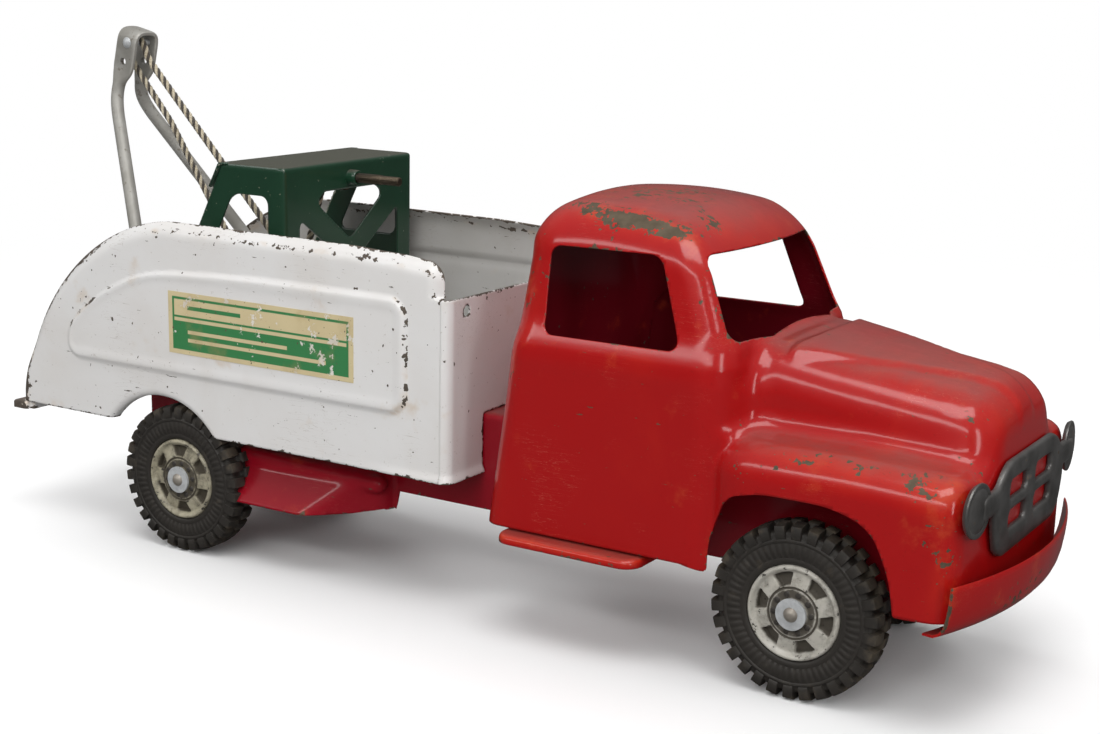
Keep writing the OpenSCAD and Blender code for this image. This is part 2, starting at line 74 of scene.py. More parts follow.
# ---------------------------------------------------------------- meshes
def make_piece(name, node, verts, faces, materials, body="chassis", sharp=40, marks=(), kinds=None,
               seams=None):
    """A mesh object in place of a CAD node, from points in millimetres, with sharp edges above an angle."""
    mesh = bpy.data.meshes.new(name)
    mesh.from_pydata((np.asarray(verts, float) * MM).tolist(), [], [[int(i) for i in f] for f in faces])
    if kinds is not None:
        mesh.polygons.foreach_set("material_index", np.asarray(kinds, np.int32))
    mesh.shade_smooth()
    mesh.set_sharp_from_angle(angle=math.radians(sharp))
    piece = bpy.data.objects.new(name, mesh)
    bpy.context.scene.collection.objects.link(piece)
    for material in materials:
        mesh.materials.append(material)
    mark_wear(mesh, marks, seams)
    if body:
        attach(piece, body)
    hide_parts(node)
    return piece


def add_values(mesh, **layers):
    """Named values for a material, one number for each vertex."""
    for label, values in layers.items():
        mesh.attributes.new(label, "FLOAT", "POINT").data.foreach_set("value", values.astype(np.float32))


def blobs(points, marks):
    """Sum of soft spots, each given as centre, size and strength."""
    total = np.zeros(len(points))
    for centre, size, strength in marks:
        q = (points - np.array(centre)) / np.array(size)
        total += strength * np.exp(-(q * q).sum(1))
    return total


def values_of(items, key, width, kind=float):
    """One row of numbers for each vertex, edge or corner of a mesh."""
    out = np.empty(len(items) * width, kind)
    items.foreach_get(key, out)
    return out.reshape(-1, width)


def mark_wear(mesh, marks, seams):
    """Vertex attributes for the paint: rim (near a cut edge), fold (convex bend) and wear (listed spots).

    seams(points) is true where a cut edge only meets its neighbour panel and so keeps its paint.
    """
    points = values_of(mesh.vertices, "co", 3) / MM
    normals = values_of(mesh.vertices, "normal", 3)
    edges = values_of(mesh.edges, "vertices", 2, np.int32)
    loops = values_of(mesh.loops, "edge_index", 1, np.int32)[:, 0]
    n = len(points)
    d = points[edges[:, 0]] - points[edges[:, 1]]
    length2 = np.maximum((d * d).sum(1), 0.01)
    bend = ((normals[edges[:, 0]] - normals[edges[:, 1]]) * d).sum(1) / length2
    fold = np.zeros(n)
    count = np.zeros(n)
    for k in (0, 1):
        np.add.at(fold, edges[:, k], bend)
        np.add.at(count, edges[:, k], 1)
    fold = np.clip(fold / np.maximum(count, 1), 0, 0.5) * 2
    lone = np.bincount(loops, minlength=len(edges)) == 1
    rim = np.zeros(n)
    border = np.unique(edges[lone])
    if seams is not None and len(border):
        border = border[~seams(points[border])]
    if len(border):
        tree = KDTree(len(border))
        for i in border:
            tree.insert(points[i], int(i))
        tree.balance()
        reach = np.array([tree.find(p)[2] for p in points])
        rim = np.exp(-reach / 1.4)
    add_values(mesh, rim=rim, fold=fold, wear=marks(points) if callable(marks) else blobs(points, marks))


def surface_net(field, low, high, step):
    """Quads of the surface field = 0, with each vertex moved onto the surface."""
    axes = [np.arange(low[i], high[i] + step, step) for i in range(3)]
    grid = np.stack(np.meshgrid(*axes, indexing="ij"), -1)
    shape = grid.shape[:3]
    values = field(grid.reshape(-1, 3)).reshape(shape)
    inside = values < 0
    total = np.zeros([n - 1 for n in shape] + [3])
    count = np.zeros([n - 1 for n in shape])
    quads = []
    for axis in range(3):
        head = [slice(None)] * 3
        tail = [slice(None)] * 3
        head[axis], tail[axis] = slice(1, None), slice(None, -1)
        a, b = values[tuple(tail)], values[tuple(head)]
        crossing = inside[tuple(tail)] != inside[tuple(head)]
        t = np.where(crossing, a / np.where(crossing, a - b, 1.0), 0.0)
        point = grid[tuple(tail)] + t[..., None] * (grid[tuple(head)] - grid[tuple(tail)])
        others = [i for i in range(3) if i != axis]
        for da in (0, 1):
            for db in (0, 1):
                src = [slice(None)] * 3
                for k, d in zip(others, (da, db)):
                    src[k] = slice(d, shape[k] - 1 + d)
                sel = crossing[tuple(src)]
                total[sel] += point[tuple(src)][sel]
                count[sel] += 1
        at = list(np.nonzero(crossing))
        keep = (at[others[0]] > 0) & (at[others[1]] > 0)
        keep &= (at[others[0]] < shape[others[0]] - 1) & (at[others[1]] < shape[others[1]] - 1)
        at = [c[keep] for c in at]
        flip = inside[tuple(at)] if axis != 1 else ~inside[tuple(at)]
        ring = []
        for da, db in ((1, 1), (0, 1), (0, 0), (1, 0)):
            cell = [c.copy() for c in at]
            cell[others[0]] -= da
            cell[others[1]] -= db
            ring.append(np.ravel_multi_index(cell, total.shape[:3]))
        ring = np.stack(ring, 1)
        ring[~flip] = ring[~flip][:, ::-1]
        quads.append(ring)
    quads = np.concatenate(quads)
    used, index = np.unique(quads, return_inverse=True)
    verts = (total.reshape(-1, 3)[used]) / count.reshape(-1)[used][:, None]
    return onto_surface(field, verts), index.reshape(-1, 4)


def slope(field, points, h=0.05):
    """Gradient of a field by central differences."""
    g = np.zeros_like(points)
    for i in range(3):
        d = np.zeros(3)
        d[i] = h
        g[:, i] = (field(points + d) - field(points - d)) / (2 * h)
    return g


def onto_surface(field, points):
    """The points moved along the slope until the field is 0."""
    for _ in range(4):
        g = slope(field, points)
        points = points - (field(points) / np.maximum((g * g).sum(1), 1e-6))[:, None] * g
    return points


def clip(verts, tris, keep):
    """The part of a triangle mesh where keep(points) > 0, cut cleanly along keep = 0."""
    g = keep(verts)
    g = np.where(np.abs(g) < 1e-6, 1e-6, g)
    positive = g[tris] > 0
    n = positive.sum(1)
    out = [tris[n == 3]]
    extra, lookup = [], {}

    def cut(a, b):
        key = (min(a, b), max(a, b))
        if key not in lookup:
            t = g[a] / (g[a] - g[b])
            lookup[key] = len(verts) + len(extra)
            extra.append(verts[a] + t * (verts[b] - verts[a]))
        return lookup[key]

    fresh = []
    for lone, wanted in ((True, 1), (False, 2)):
        rows = tris[n == wanted]
        marks = positive[n == wanted] == lone
        for row, mark in zip(rows, marks):
            s = int(np.argmax(mark))
            a, b, c = (int(row[(s + i) % 3]) for i in range(3))
            ab, ac = cut(a, b), cut(a, c)
            if lone:
                fresh.append((a, ab, ac))
            else:
                fresh.append((ab, b, c))
                fresh.append((ab, c, ac))
    out.append(np.array(fresh, int).reshape(-1, 3))
    tris = np.concatenate(out)
    verts = np.concatenate([verts, np.array(extra).reshape(-1, 3)])
    used, index = np.unique(tris, return_inverse=True)
    return verts[used], index.reshape(-1, 3)


def pressing(field, low, high, step, *keeps):
    """Skin of a field, cut by each keep function in turn."""
    verts, quads = surface_net(field, low, high, step * (1.0))
    tris = np.concatenate([quads[:, [0, 1, 2]], quads[:, [0, 2, 3]]])
    for keep in keeps:
        verts, tris = clip(verts, tris, keep)
    return verts, tris


# ---------------------------------------------------------------- fields
def either_side(p):
    """Columns of the points as if they were all on the truck's left."""
    x, y, z = p.T
    return x, np.abs(y), z


def join(a, b, k):
    """Union with a soft fillet of about size k."""
    h = np.clip(0.5 + 0.5 * (b - a) / k, 0, 1)
    return b + (a - b) * h - k * h * (1 - h)


def meet(a, b, r):
    """Intersection with its edge rounded to radius r."""
    return np.minimum(np.maximum(a, b), -r) + np.hypot(np.maximum(a + r, 0), np.maximum(b + r, 0))


def rounded_shape(points, r):
    """Field of a convex outline in 2D (negative inside), with corners of radius r."""
    pts = np.array(points, float)
    centre = pts.mean(0)
    lines = []
    for a, b in zip(pts, np.roll(pts, -1, axis=0)):
        n = np.array([b[1] - a[1], a[0] - b[0]])
        n /= np.linalg.norm(n)
        if n @ (centre - a) > 0:
            n = -n
        lines.append((n, n @ a))

    def field(u, v):
        d = None
        for n, off in lines:
            e = n[0] * u + n[1] * v - off
            d = e if d is None else meet(d, e, r)
        return d

    return field


def box_shape(u0, u1, v0, v1, r):
    """Field of a rectangle with rounded corners."""
    return rounded_shape([(u0, v0), (u1, v0), (u1, v1), (u0, v1)], r)


def ramp(x, a, b):
    """Smooth step from 0 at a to 1 at b."""
    t = np.clip((x - a) / (b - a), 0, 1)
    return t * t * (3 - 2 * t)


def capsule(p, a, b, r):
    """Field of a round-ended bar from a to b."""
    a, b = np.array(a, float), np.array(b, float)
    d = b - a
    t = np.clip(((p - a) @ d) / (d @ d), 0, 1)
    return np.linalg.norm(p - a - t[:, None] * d, axis=1) - r


# ---------------------------------------------------------------- sweeps
def lattice(rows, columns, ring_of_rows=False, ring_of_columns=True):
    """Quads between rows of points."""
    faces = []
    for i in range(rows if ring_of_rows else rows - 1):
        a, b = i * columns, (i + 1) % rows * columns
        for j in range(columns if ring_of_columns else columns - 1):
            k = (j + 1) % columns
            faces.append((a + j, b + j, b + k, a + k))
    return faces


def circle(n):
    """Cosine and sine of n even steps round a circle."""
    angle = np.linspace(0, 2 * np.pi, n, endpoint=False)
    return np.cos(angle), np.sin(angle)


def sweep(centres, wide, thick, sections):
    """Capped mesh of closed sections carried along a path; wide and thick are each section's axes."""
    rows, m = len(centres), len(sections[0])
    verts = np.concatenate([c + np.outer(s[:, 0], w) + np.outer(s[:, 1], t)
                            for c, w, t, s in zip(centres, wide, thick, sections)])
    faces = [(a, d, c, b) for a, b, c, d in lattice(rows, m)]
    faces.append(tuple(range(m))[::-1])
    faces.append(tuple((rows - 1) * m + j for j in range(m)))
    return verts, faces


def axes_along(points, hint):
    """Unit axes across a path: wide close to the hint, thick at right angles to both."""
    points = np.asarray(points, float)
    t = np.gradient(points, axis=0)
    t /= np.linalg.norm(t, axis=1)[:, None]
    w = hint - (t @ hint)[:, None] * t
    w /= np.linalg.norm(w, axis=1)[:, None]
    return w, np.cross(t, w)


def resample(points, spacing):
    """Evenly spaced points along a path, and their distances from its start."""
    points = np.asarray(points, float)
    s = np.concatenate([[0], np.cumsum(np.linalg.norm(np.diff(points, axis=0), axis=1))])
    at = np.linspace(0, s[-1], max(2, int(round(s[-1] / spacing)) + 1))
    return np.stack([np.interp(at, s, points[:, i]) for i in range(3)], 1), at


def soften(points, spacing, rounds):
    """Path with its corners rounded by repeated averaging; the ends stay."""
    p, _ = resample(points, spacing)
    for _ in range(rounds):
        p[1:-1] = (p[:-2] + 2 * p[1:-1] + p[2:]) / 4
    return resample(p, spacing)


def revolve(profile, n):
    """Mesh turned about X from (x, radius) points."""
    ring = np.stack([np.zeros(n), *circle(n)], 1)
    return np.concatenate([[x, 0, 0] + ring * r for x, r in profile]), lattice(len(profile), n)


def combine(*parts):
    """One vertex list and face list from several meshes."""
    verts, faces, base = [], [], 0
    for v, f in parts:
        verts.append(np.asarray(v, float))
        faces += [tuple(i + base for i in face) for face in f]
        base += len(v)
    return np.concatenate(verts), faces


def mirrored(verts, faces):
    """The same mesh on the other side of the truck."""
    return np.array(verts, float) * [1, -1, 1], [tuple(f)[::-1] for f in faces]


# ---------------------------------------------------------------- cab
def cab_field(p):
    """Cab house, lower body, hood and fenders as one solid with soft fillets."""
    x, y, z = either_side(p)
    front_end = x - (286.6 - 1.4 * (y / 60) ** 4)
    # greenhouse: leaning sides, raked windscreen, crowned roof
    draw_in = 0.55 * np.maximum(150 - z, 0)
    side = (y - (70.8 - 0.165 * (z - 156) - draw_in)) * 0.982
    front = (x - (172.5 - 0.42 * np.maximum(z - 158, 0) - 5.0 * (y / 60) ** 2 - draw_in)) * 0.92
    roof = z - (221.2 - 0.0021 * (x - 92) ** 2 - 0.0016 * y ** 2)
    house = meet(side, front, 13)
    house = meet(house, roof, 18.5)
    house = np.maximum(house, 118 - z)
    # lower cab
    body = meet(y - 75.6, z - 161, 20)
    body = meet(body, x - 170, 18)
    cab = join(house, body, 9)
    back = np.interp(z, [57, 121, 150, 177, 220], [38.5, 46.3, 49.2, 48.8, 47.6])
    cab = meet(cab, back - x, np.interp(z, [60, 150, 190], [11, 15, 25]))
    # hood with a raised middle that narrows towards the nose
    top = np.interp(x, [160, 182, 195.5, 210.5, 236.5, 260, 272, 290],
                    [161.5, 161.0, 158.6, 156.2, 152.6, 149.4, 146.8, 142])
    rim = 188 - 3 * (y / 40) ** 2
    edge = np.interp(x, [188, 200, 220, 240, 260, 280], [42, 37, 30, 22, 14, 8])
    band = 2.4 * ramp(x, rim - 1.5, rim + 3) * (1 - ramp(y, edge - 2, edge + 4))
    hood = z - (top + 0.6 + band - 2.6 * (y / 45) ** 2)
    hood = meet(hood, y - (52 - 0.055 * (x - 175)), 20)
    nose = x - (286.6 - 2.5 * (y / 50) ** 2)
    hood = meet(hood, nose, 17)
    hood = np.maximum(hood, 155 - x)
    cab = join(cab, hood, 8 + 9 * (1 - ramp(z, 134, 155)))
    # pontoon fenders across the full width
    top = 120.3 - 0.007 * np.maximum(x - 225, 0) ** 1.5
    fender = meet(y - (73.8 + 5.5 * ramp(x, 153, 170)), z - top, 17)
    fender = meet(fender, 153 - x, 34)
    fender = meet(fender, front_end, 11)
    fillet = 4 + 10 * np.maximum(ramp(x, 160, 178), ramp(z, 108, 122))
    cab = join(cab, fender, fillet)
    cab = meet(cab, front_end, 4)
    return np.maximum(cab, 45 - z)


SIDE_WINDOW = rounded_shape([(70.5, 156), (143.8, 156.3), (129, 198.6), (69, 198)], 5.5)
SCREEN = rounded_shape([(-62, 161.5), (62, 161.5), (57, 200), (-57, 200)], 6)
WHEEL_ARCH = rounded_shape([(161.5, 20), (163, 74), (172, 93), (186, 98.8), (206, 100), (228, 98.5),
                            (243, 92), (251, 80), (257.5, 55), (258, 20)], 4)
BACK_OPENING = rounded_shape([(-60, 30), (60, 30), (60, 160), (50, 196), (-50, 196), (-60, 160)], 10)


def cab_keep(p):
    """The cab's lower edge and its openings: windows, wheel arches and the back."""
    x, y, z = p.T
    g = np.where(x > 150, z - np.interp(x, [150, 162, 250, 262, 290], [57, 54.5, 54.5, 54.5, 56]), z - 57)
    g = np.minimum(g, np.where(np.abs(y) > 50, SIDE_WINDOW(x, z), 10))
    # the screen's opening stops at the cowl in front of it
    screen = np.maximum(SCREEN(y, z), x - (174.5 - 0.42 * (z - 158)))
    g = np.minimum(g, np.where(x > 130, screen, 10))
    g = np.minimum(g, np.where((np.abs(y) > 42) & (z < 110), WHEEL_ARCH(x, z), 10))
    return np.minimum(g, np.where(x < 62, BACK_OPENING(y, z), 10))


def chassis_clear(p):
    """Positive outside the chassis channel."""
    return np.maximum(np.abs(p[:, 1]) - 38.8, p[:, 2] - 102.3)


def cab_mesh():
    """The red cab pressing."""
    return pressing(cab_field, (30, -88, 40), (300, 88, 232), 1.9, cab_keep)


def back_panel_mesh():
    """Panel just inside the cab's back, over the chassis channel."""
    def keep(p):
        return np.minimum(66 - p[:, 0], np.minimum(p[:, 2] - 64, 70 - np.abs(p[:, 1])))

    return pressing(lambda p: cab_field(p) + 1.35, (30, -80, 50), (70, 80, 226), 2.4, keep, chassis_clear)


# ---------------------------------------------------------------- bed
TAIL_X, TAIL_Z = -170.0, 72.0            # centre of the tail's superellipse
TAIL_A, TAIL_B, TAIL_P = 121.0, 115.7, 1.85
BED_HALF = 71.0
BED_NOSE = 9.5
BED_LOW = 70.7
WALL_TOP = 165.0
EMBOSS = rounded_shape([(-252, 103.5), (-254, 107.5), (-253.5, 118), (-233, 140.5), (-216.5, 150),
                        (-193.5, 160), (-170, 163), (-11.5, 163), (-11.5, 103.5)], 10)


def bed_outline(x, z):
    """Field of the bed's side outline, with the long top edge and the rounded tail."""
    drop = 187.7 - np.interp(x, [-170, -46, -15, 0.5, 9.5], [187.7, 186.8, 185.3, 183.6, 182.4])
    u = np.maximum(TAIL_X - x, 0) / TAIL_A
    v = np.maximum(z + drop - TAIL_Z, 0) / TAIL_B
    q = np.maximum((u ** TAIL_P + v ** TAIL_P) ** (1 / TAIL_P), 0.05)
    gx = q ** (1 - TAIL_P) * u ** (TAIL_P - 1) / TAIL_A
    gz = q ** (1 - TAIL_P) * v ** (TAIL_P - 1) / TAIL_B
    tail = (q - 1) / np.maximum(np.hypot(gx, gz), 0.004)
    nose = x - BED_NOSE - 12 * (1 - ramp(z, WALL_TOP - 0.6, WALL_TOP + 0.6))
    return meet(tail, nose, 9)


def arch_reach(x, z):
    """Distance outside the rear wheel arch."""
    return np.hypot(x + 181.3, z - 40.5) - 48


def flare(z):
    """Outward turn of the bed's lower edge."""
    return 1.3 * (1 - ramp(z, BED_LOW, BED_LOW + 5))


def side_field(p):
    """Left bed side with its raised panel, rim and wheel arch."""
    x, y, z = p.T
    inward = -EMBOSS(x, z)
    raised = 1.3 * ramp(inward, -1.9, 1.9) + 0.5 * ramp(inward, -1, 2) * (1 - ramp(inward, 3, 8))
    face = y - BED_HALF - raised - flare(z) * ramp(x, -60, 9)
    # the rim is turned inwards at 45 degrees along the whole outline
    outline = bed_outline(x, z)
    slab = meet(face, (face + outline + 1 + 4.4 * ramp(z, 80, 110)) * 0.707, 2.2)
    slab = meet(slab, outline, 0.4)
    slab = meet(slab, 60 - y, 2.5)
    return meet(slab, -arch_reach(x, z), 3.5)


def side_keep(p):
    """The outer face and rim only."""
    x, y, z = p.T
    g = np.minimum(y - 64.8, -0.4 - bed_outline(x, z))
    return np.minimum(g, BED_NOSE + 0.05 - x)


def bed_side_mesh():
    """The left bed side pressing."""
    return pressing(side_field, (-296, 56, 62), (24, 76, 193), 1.5, side_keep, lambda p: p[:, 2] - BED_LOW)


def front_wall_mesh():
    """The bed's front wall with rounded corners and two holes."""
    def field(p):
        x, y, z = either_side(p)
        return meet(x - 14.9 - flare(z), y - BED_HALF - flare(z), 5.4)

    def keep(p):
        x, y, z = either_side(p)
        g = np.minimum(x - BED_NOSE - 0.05, np.minimum(z - BED_LOW, WALL_TOP - z))
        return np.minimum(g, np.hypot(y - 55, z - 158) - 3)

    return pressing(field, (2, -76, 64), (20, 76, 172), 1.6, keep, chassis_clear)


def bed_wear(p):
    """Worn spots of a bed side: tail rim, crest below the top edge and parts of the raised panel."""
    x, y, z = either_side(p)
    outline = bed_outline(x, z)
    tail = np.exp(-((outline + 2.0) / 2.0) ** 2) * ramp(-x, 205, 245)
    crest = np.exp(-((outline + 5.2) / 1.5) ** 2) * ramp(x, -230, -190)
    raised = EMBOSS(x, z)
    rise = np.exp(-((raised - 0.4) / 1.7) ** 2)
    front_line = np.exp(-((raised - 0.6) / 0.55) ** 2) * ramp(x, -22, -17) * ramp(z, 96, 110)
    behind = ramp(-x, 196, 222) * ramp(z, 106, 124)
    return (blobs(np.stack([x, y, z], 1), BED_WEAR) + 0.55 * tail + 0.42 * crest
            + rise * (0.55 * behind + 0.30 * ramp(x, -24, -12)) + 0.85 * front_line)


def bed_seams(p):
    """Where the side panel's cut edge meets the front wall."""
    return (p[:, 0] > BED_NOSE - 1) & (p[:, 2] < 163)


def wall_seams(p):
    """Where the front wall's cut edge meets the side panels."""
    return (p[:, 0] < BED_NOSE + 1.5) & (np.abs(p[:, 1]) > 64)


def sill_mesh():
    """Cross sill below the tail, with a lap that reaches under the tail's apron."""
    plan = box_shape(-299.4, -287.6, -72.5, 72.5, 2)
    lap = box_shape(-296, -284.6, -69.5, 69.5, 1)          # reaches under the tail's apron

    def field(p):
        return meet(np.minimum(plan(p[:, 0], p[:, 1]), lap(p[:, 0], p[:, 1])), p[:, 2] - 70.4, 1.5)

    return pressing(field, (-304, -75, 60), (-280, 75, 74), 1.2, lambda p: p[:, 2] - 66.0)


# ---------------------------------------------------------------- winch tower
TOWER_X, TOWER_BACK, TOWER_TOP, TOWER_HALF = -101.5, -144.5, 221.0, 57.0
TOWER_LOW, SHAFT_Z = 103.6, 211.5
LEAN = 0.51                              # how far the side plates' rear edges run back for each mm down
BRACE_Z, BRACE_RISE, BRACE_CLEAR = 169.0, math.tan(math.radians(37.5)), 8.07


def rear_of_tower(z):
    """X of the tower's sloping rear edge."""
    return TOWER_BACK - LEAN * (TOWER_TOP - z)


def tower_windows():
    """Openings of the side plates in (x, z) and of the front plate in (y, z)."""
    sides = []
    for low, high in ((172.5, 205), (122, 160)):
        sides.append(rounded_shape([(TOWER_X - 11, low), (rear_of_tower(low) + 15, low),
                                    (rear_of_tower(high) + 15, high), (TOWER_X - 11, high)], 5))
    fronts = []
    half = TOWER_HALF - 13
    for s in (1, -1):
        rise = BRACE_CLEAR + 29 * BRACE_RISE
        fronts.append(rounded_shape([(0, BRACE_Z + s * BRACE_CLEAR), (29, BRACE_Z + s * rise),
                                     (25, BRACE_Z + s * 36.5), (-25, BRACE_Z + s * 36.5),
                                     (-29, BRACE_Z + s * rise)], 3.5))
        reach = (half - BRACE_CLEAR / BRACE_RISE) * BRACE_RISE * 0.92
        fronts.append(rounded_shape([(s * BRACE_CLEAR / BRACE_RISE, BRACE_Z), (s * half, BRACE_Z + reach),
                                     (s * half, BRACE_Z - reach)], 4.5))
    return sides, fronts


def tower_mesh():
    """Folded tower with its openings, foot flanges and rear strip."""
    sides, fronts = tower_windows()

    def field(p):
        x, y, z = either_side(p)
        shell = meet(x - TOWER_X, y - TOWER_HALF, 2.2)
        shell = meet(shell, z - TOWER_TOP, 2.0)
        return meet(shell, (rear_of_tower(z) - x) * 0.89, 1.2)

    def keep(p):
        x, y, z = p.T
        on_side = np.abs(y) > TOWER_HALF - 1.2
        on_back = (rear_of_tower(z) - x) > -1.3
        g = np.full(len(p), 10.0)
        for window in sides:
            g = np.where(on_side, np.minimum(g, window(x, z)), g)
        for window in fronts:
            g = np.where(x > TOWER_X - 1.2, np.minimum(g, window(y, z)), g)
        g = np.where(on_back & ~on_side, np.minimum(g, z - 209), g)
        g = np.where(x > TOWER_X - 1.2, np.minimum(g, np.hypot(y, z - SHAFT_Z) - 3.8), g)
        return np.minimum(g, z - TOWER_LOW - 0.2)

    shell = pressing(field, (-210, -60, 98), (-98, 60, 225), 1.4, keep)
    # foot flanges turned inwards, held by the rivets
    flanges = []
    for s in (-1, 1):
        y0, y1 = sorted((s * (TOWER_HALF - 1), s * (TOWER_HALF - 12.5)))
        x0, x1 = rear_of_tower(TOWER_LOW) + 2, TOWER_X - 3
        top = TOWER_LOW + 1.2
        v = [(x0, y0, top), (x1, y0, top), (x1, y1, top), (x0, y1, top)]
        flanges.append((v, [(0, 1, 2), (0, 2, 3)]))
    # the top plate's rear flange hangs over the side plates' sloping edges
    back = rear_of_tower(TOWER_TOP) - 2.6
    rows = [(back + 6, TOWER_TOP), (back + 1.2, TOWER_TOP - 0.1), (back - 0.2, TOWER_TOP - 1),
            (rear_of_tower(207.5) - 2.6, 207.5)]
    strip = [(x, s * (TOWER_HALF + 0.4), z) for x, z in rows for s in (-1, 1)]
    flanges.append((strip, [(2 * i, 2 * i + 1, 2 * i + 3, 2 * i + 2) for i in range(len(rows) - 1)]))
    return combine(shell, *flanges)


def collar_mesh():
    """Turned collar that carries the shaft in the tower's front plate."""
    profile = [(-104.5, 2.9), (-104.5, 4.6), (-104, 5), (-103, 5), (-102.6, 4.6), (-101.4, 4.3), (-98.4, 4.3),
               (-96.6, 4.2), (-96, 3.8), (-96, 2.9), (-104.5, 2.9)]
    verts, faces = revolve(profile, 32)
    return verts + [0, 0, SHAFT_Z], faces


# ---------------------------------------------------------------- chassis
def chassis_field(p):
    """Chassis channel with the skirts in front of the rear wheels."""
    x, y, z = either_side(p)
    channel = meet(y - 38.5, z - 102, 3)
    # skirts beside and in front of the rear tyres: a sloping face under a rounded bead
    face = 0.818 * (y - 48.5) + 0.576 * (z - 63)
    skirt = meet(face, 0.515 * (x + 84) + 0.857 * (y - 69), 3)
    skirt = meet(skirt, x + 42.5, 5)
    skirt = meet(skirt, z - 65, 4)
    bead = capsule(np.stack([x, y, z], 1), (-156, 50.7, 59.5), (-47, 47.5, 55.5), 5.4)
    skirt = np.maximum(join(skirt, bead, 2), -154 - x)
    # beside the tyre only
    skirt = meet(skirt, y - np.interp(x, [-138, -128], [64.6, 72]), 2)
    return np.maximum(join(channel, skirt, 2), 30 - z)


SKIRT_BACK = -147.0


def chassis_keep(p):
    """Lower edges and ends of the channel and its skirts."""
    x, y, z = either_side(p)
    skirt_low = np.interp(x, [-122, -82, -60, -45], [36, 36, 38.2, 41])
    low = np.where((x > -160) & (x < -40) & (y > 37), skirt_low, 50.5)
    g = np.minimum(z - low, np.minimum(x + 219.5, 284 - x))
    g = np.minimum(g, np.maximum(x - SKIRT_BACK, 39.4 - y))
    return np.minimum(g, np.maximum(262 - x, 78 - z))


def chassis_mesh():
    """The chassis pressing."""
    return pressing(chassis_field, (-226, -74, 28), (290, 74, 106), 2.0, chassis_keep)


def step_mesh():
    """The left running board."""
    plan = box_shape(51.5, 130.5, 20, 84.9, 9)

    def field(p):
        return meet(plan(p[:, 0], p[:, 1]), p[:, 2] - 55.8, 2.4)

    def keep(p):
        return np.minimum(p[:, 2] - 51.6, p[:, 1] - 38.7)

    return pressing(field, (46, 34, 44), (136, 90, 60), 1.5, keep)


BUMPER_X, BUMPER_R, BUMPER_HALF = 74.8, 224.65, 83.0


def bumper_mesh():
    """Bumper bent along an arc about the truck's middle plane."""
    turn = math.asin(BUMPER_HALF / BUMPER_R)
    # leaning blade over a flange turned back under the cab
    outer = [(-15, 48.7), (-9, 49.3), (-5.6, 51.1), (-3.3, 53.9), (-2.3, 56.2), (-1.3, 60.2), (-0.5, 66.2),
             (-0.1, 71), (-0.1, 73.6), (-0.5, 74.3)]
    inner = [(-1.1, 74.0), (-1.2, 73.0), (-1.3, 70.5), (-1.7, 66.0), (-2.5, 60.3), (-3.4, 56.6), (-4.2, 54.5),
             (-6.2, 52.2), (-9.4, 50.4), (-15, 49.8)]
    section = np.array(outer + inner) + [BUMPER_R, 0]
    angles = np.linspace(-turn, turn, 90)
    wide = [np.array([math.cos(a), math.sin(a), 0]) for a in angles]
    centre, up = np.array([BUMPER_X, 0, 0]), np.array([0, 0, 1.0])
    n = len(angles)
    return sweep([centre] * n, wide, [up] * n, [section] * n)


# ---------------------------------------------------------------- grille and lamps
def grille_shape(y, z):
    """Outline of the grille with its side arms and four openings."""
    y = np.abs(y)
    body = rounded_shape([(-42, 76.5), (42, 76.5), (50.5, 90), (50.5, 104), (37, 119.5), (-37, 119.5),
                          (-50.5, 104), (-50.5, 90)], 7)(y, z)
    arms = box_shape(-66, 66, 99.5, 110.5, 3)(y, z)
    shape = join(body, arms, 4)
    for low, high in ((101.6, 110.3), (87.8, 96.2)):
        shape = np.maximum(shape, -box_shape(5.6, 31, low, high, 2.8)(y, z))
    return shape


def grille_mesh():
    """Grille with rounded bars."""
    def field(p):
        x, y, z = p.T
        shape = grille_shape(y, z)
        depth = np.clip(-shape / 4.2, 0, 1)
        crown = 1.9 * np.sqrt(depth * (2 - depth))
        return meet(meet(shape, x - 288.1 - crown, 0.8), 286.5 - x, 0.3)

    return pressing(field, (284, -70, 72), (293, 70, 124), 0.9)


def lamp_mesh():
    """Left headlamp."""
    profile = [(284.9, 11.3), (285.8, 12.0), (286.6, 12.4), (287.3, 12.2), (287.6, 11.4), (287.4, 10.5),
               (287.1, 10.0), (287.4, 9.4), (288.0, 8.2), (288.5, 6.2), (288.7, 4.0), (288.8, 2.0),
               (288.8, 0.01)]
    verts, faces = revolve(profile, 40)
    verts = verts - [0.10, 0, 0] * verts[:, 1:2]       # turned a little outwards
    return verts + [0, 67, 105], faces


# ---------------------------------------------------------------- wheels
LUGS = 30
# one side of the tyre from the middle of the tread: (y, radius) over a lug, and the same between lugs
TREAD_LUG = [(0, 40.6), (0.5, 41.6), (1.1, 42), (3, 42), (5, 41.9), (7, 41.6), (8.3, 41.1), (8.85, 40.0),
             (9, 37.6), (8.95, 35.6), (8.5, 34.9)]
TREAD_GAP = [(0, 40.2), (0.5, 39.4), (1.1, 38.9), (3, 38.8), (5, 38.7), (6.4, 38.4), (7.2, 37.8), (7.6, 36.8),
             (7.8, 35.8), (8.0, 35.2), (8.3, 34.9)]
TYRE_WALL = [(8.75, 34.4), (8.75, 33.6), (8.4, 33.1), (8.6, 31.5), (8.7, 29.5), (8.5, 27.6), (8.1, 26.2),
             (8.25, 25.7), (8.3, 24.6), (8.0, 23.6), (7.3, 23.0), (6.0, 22.9)]


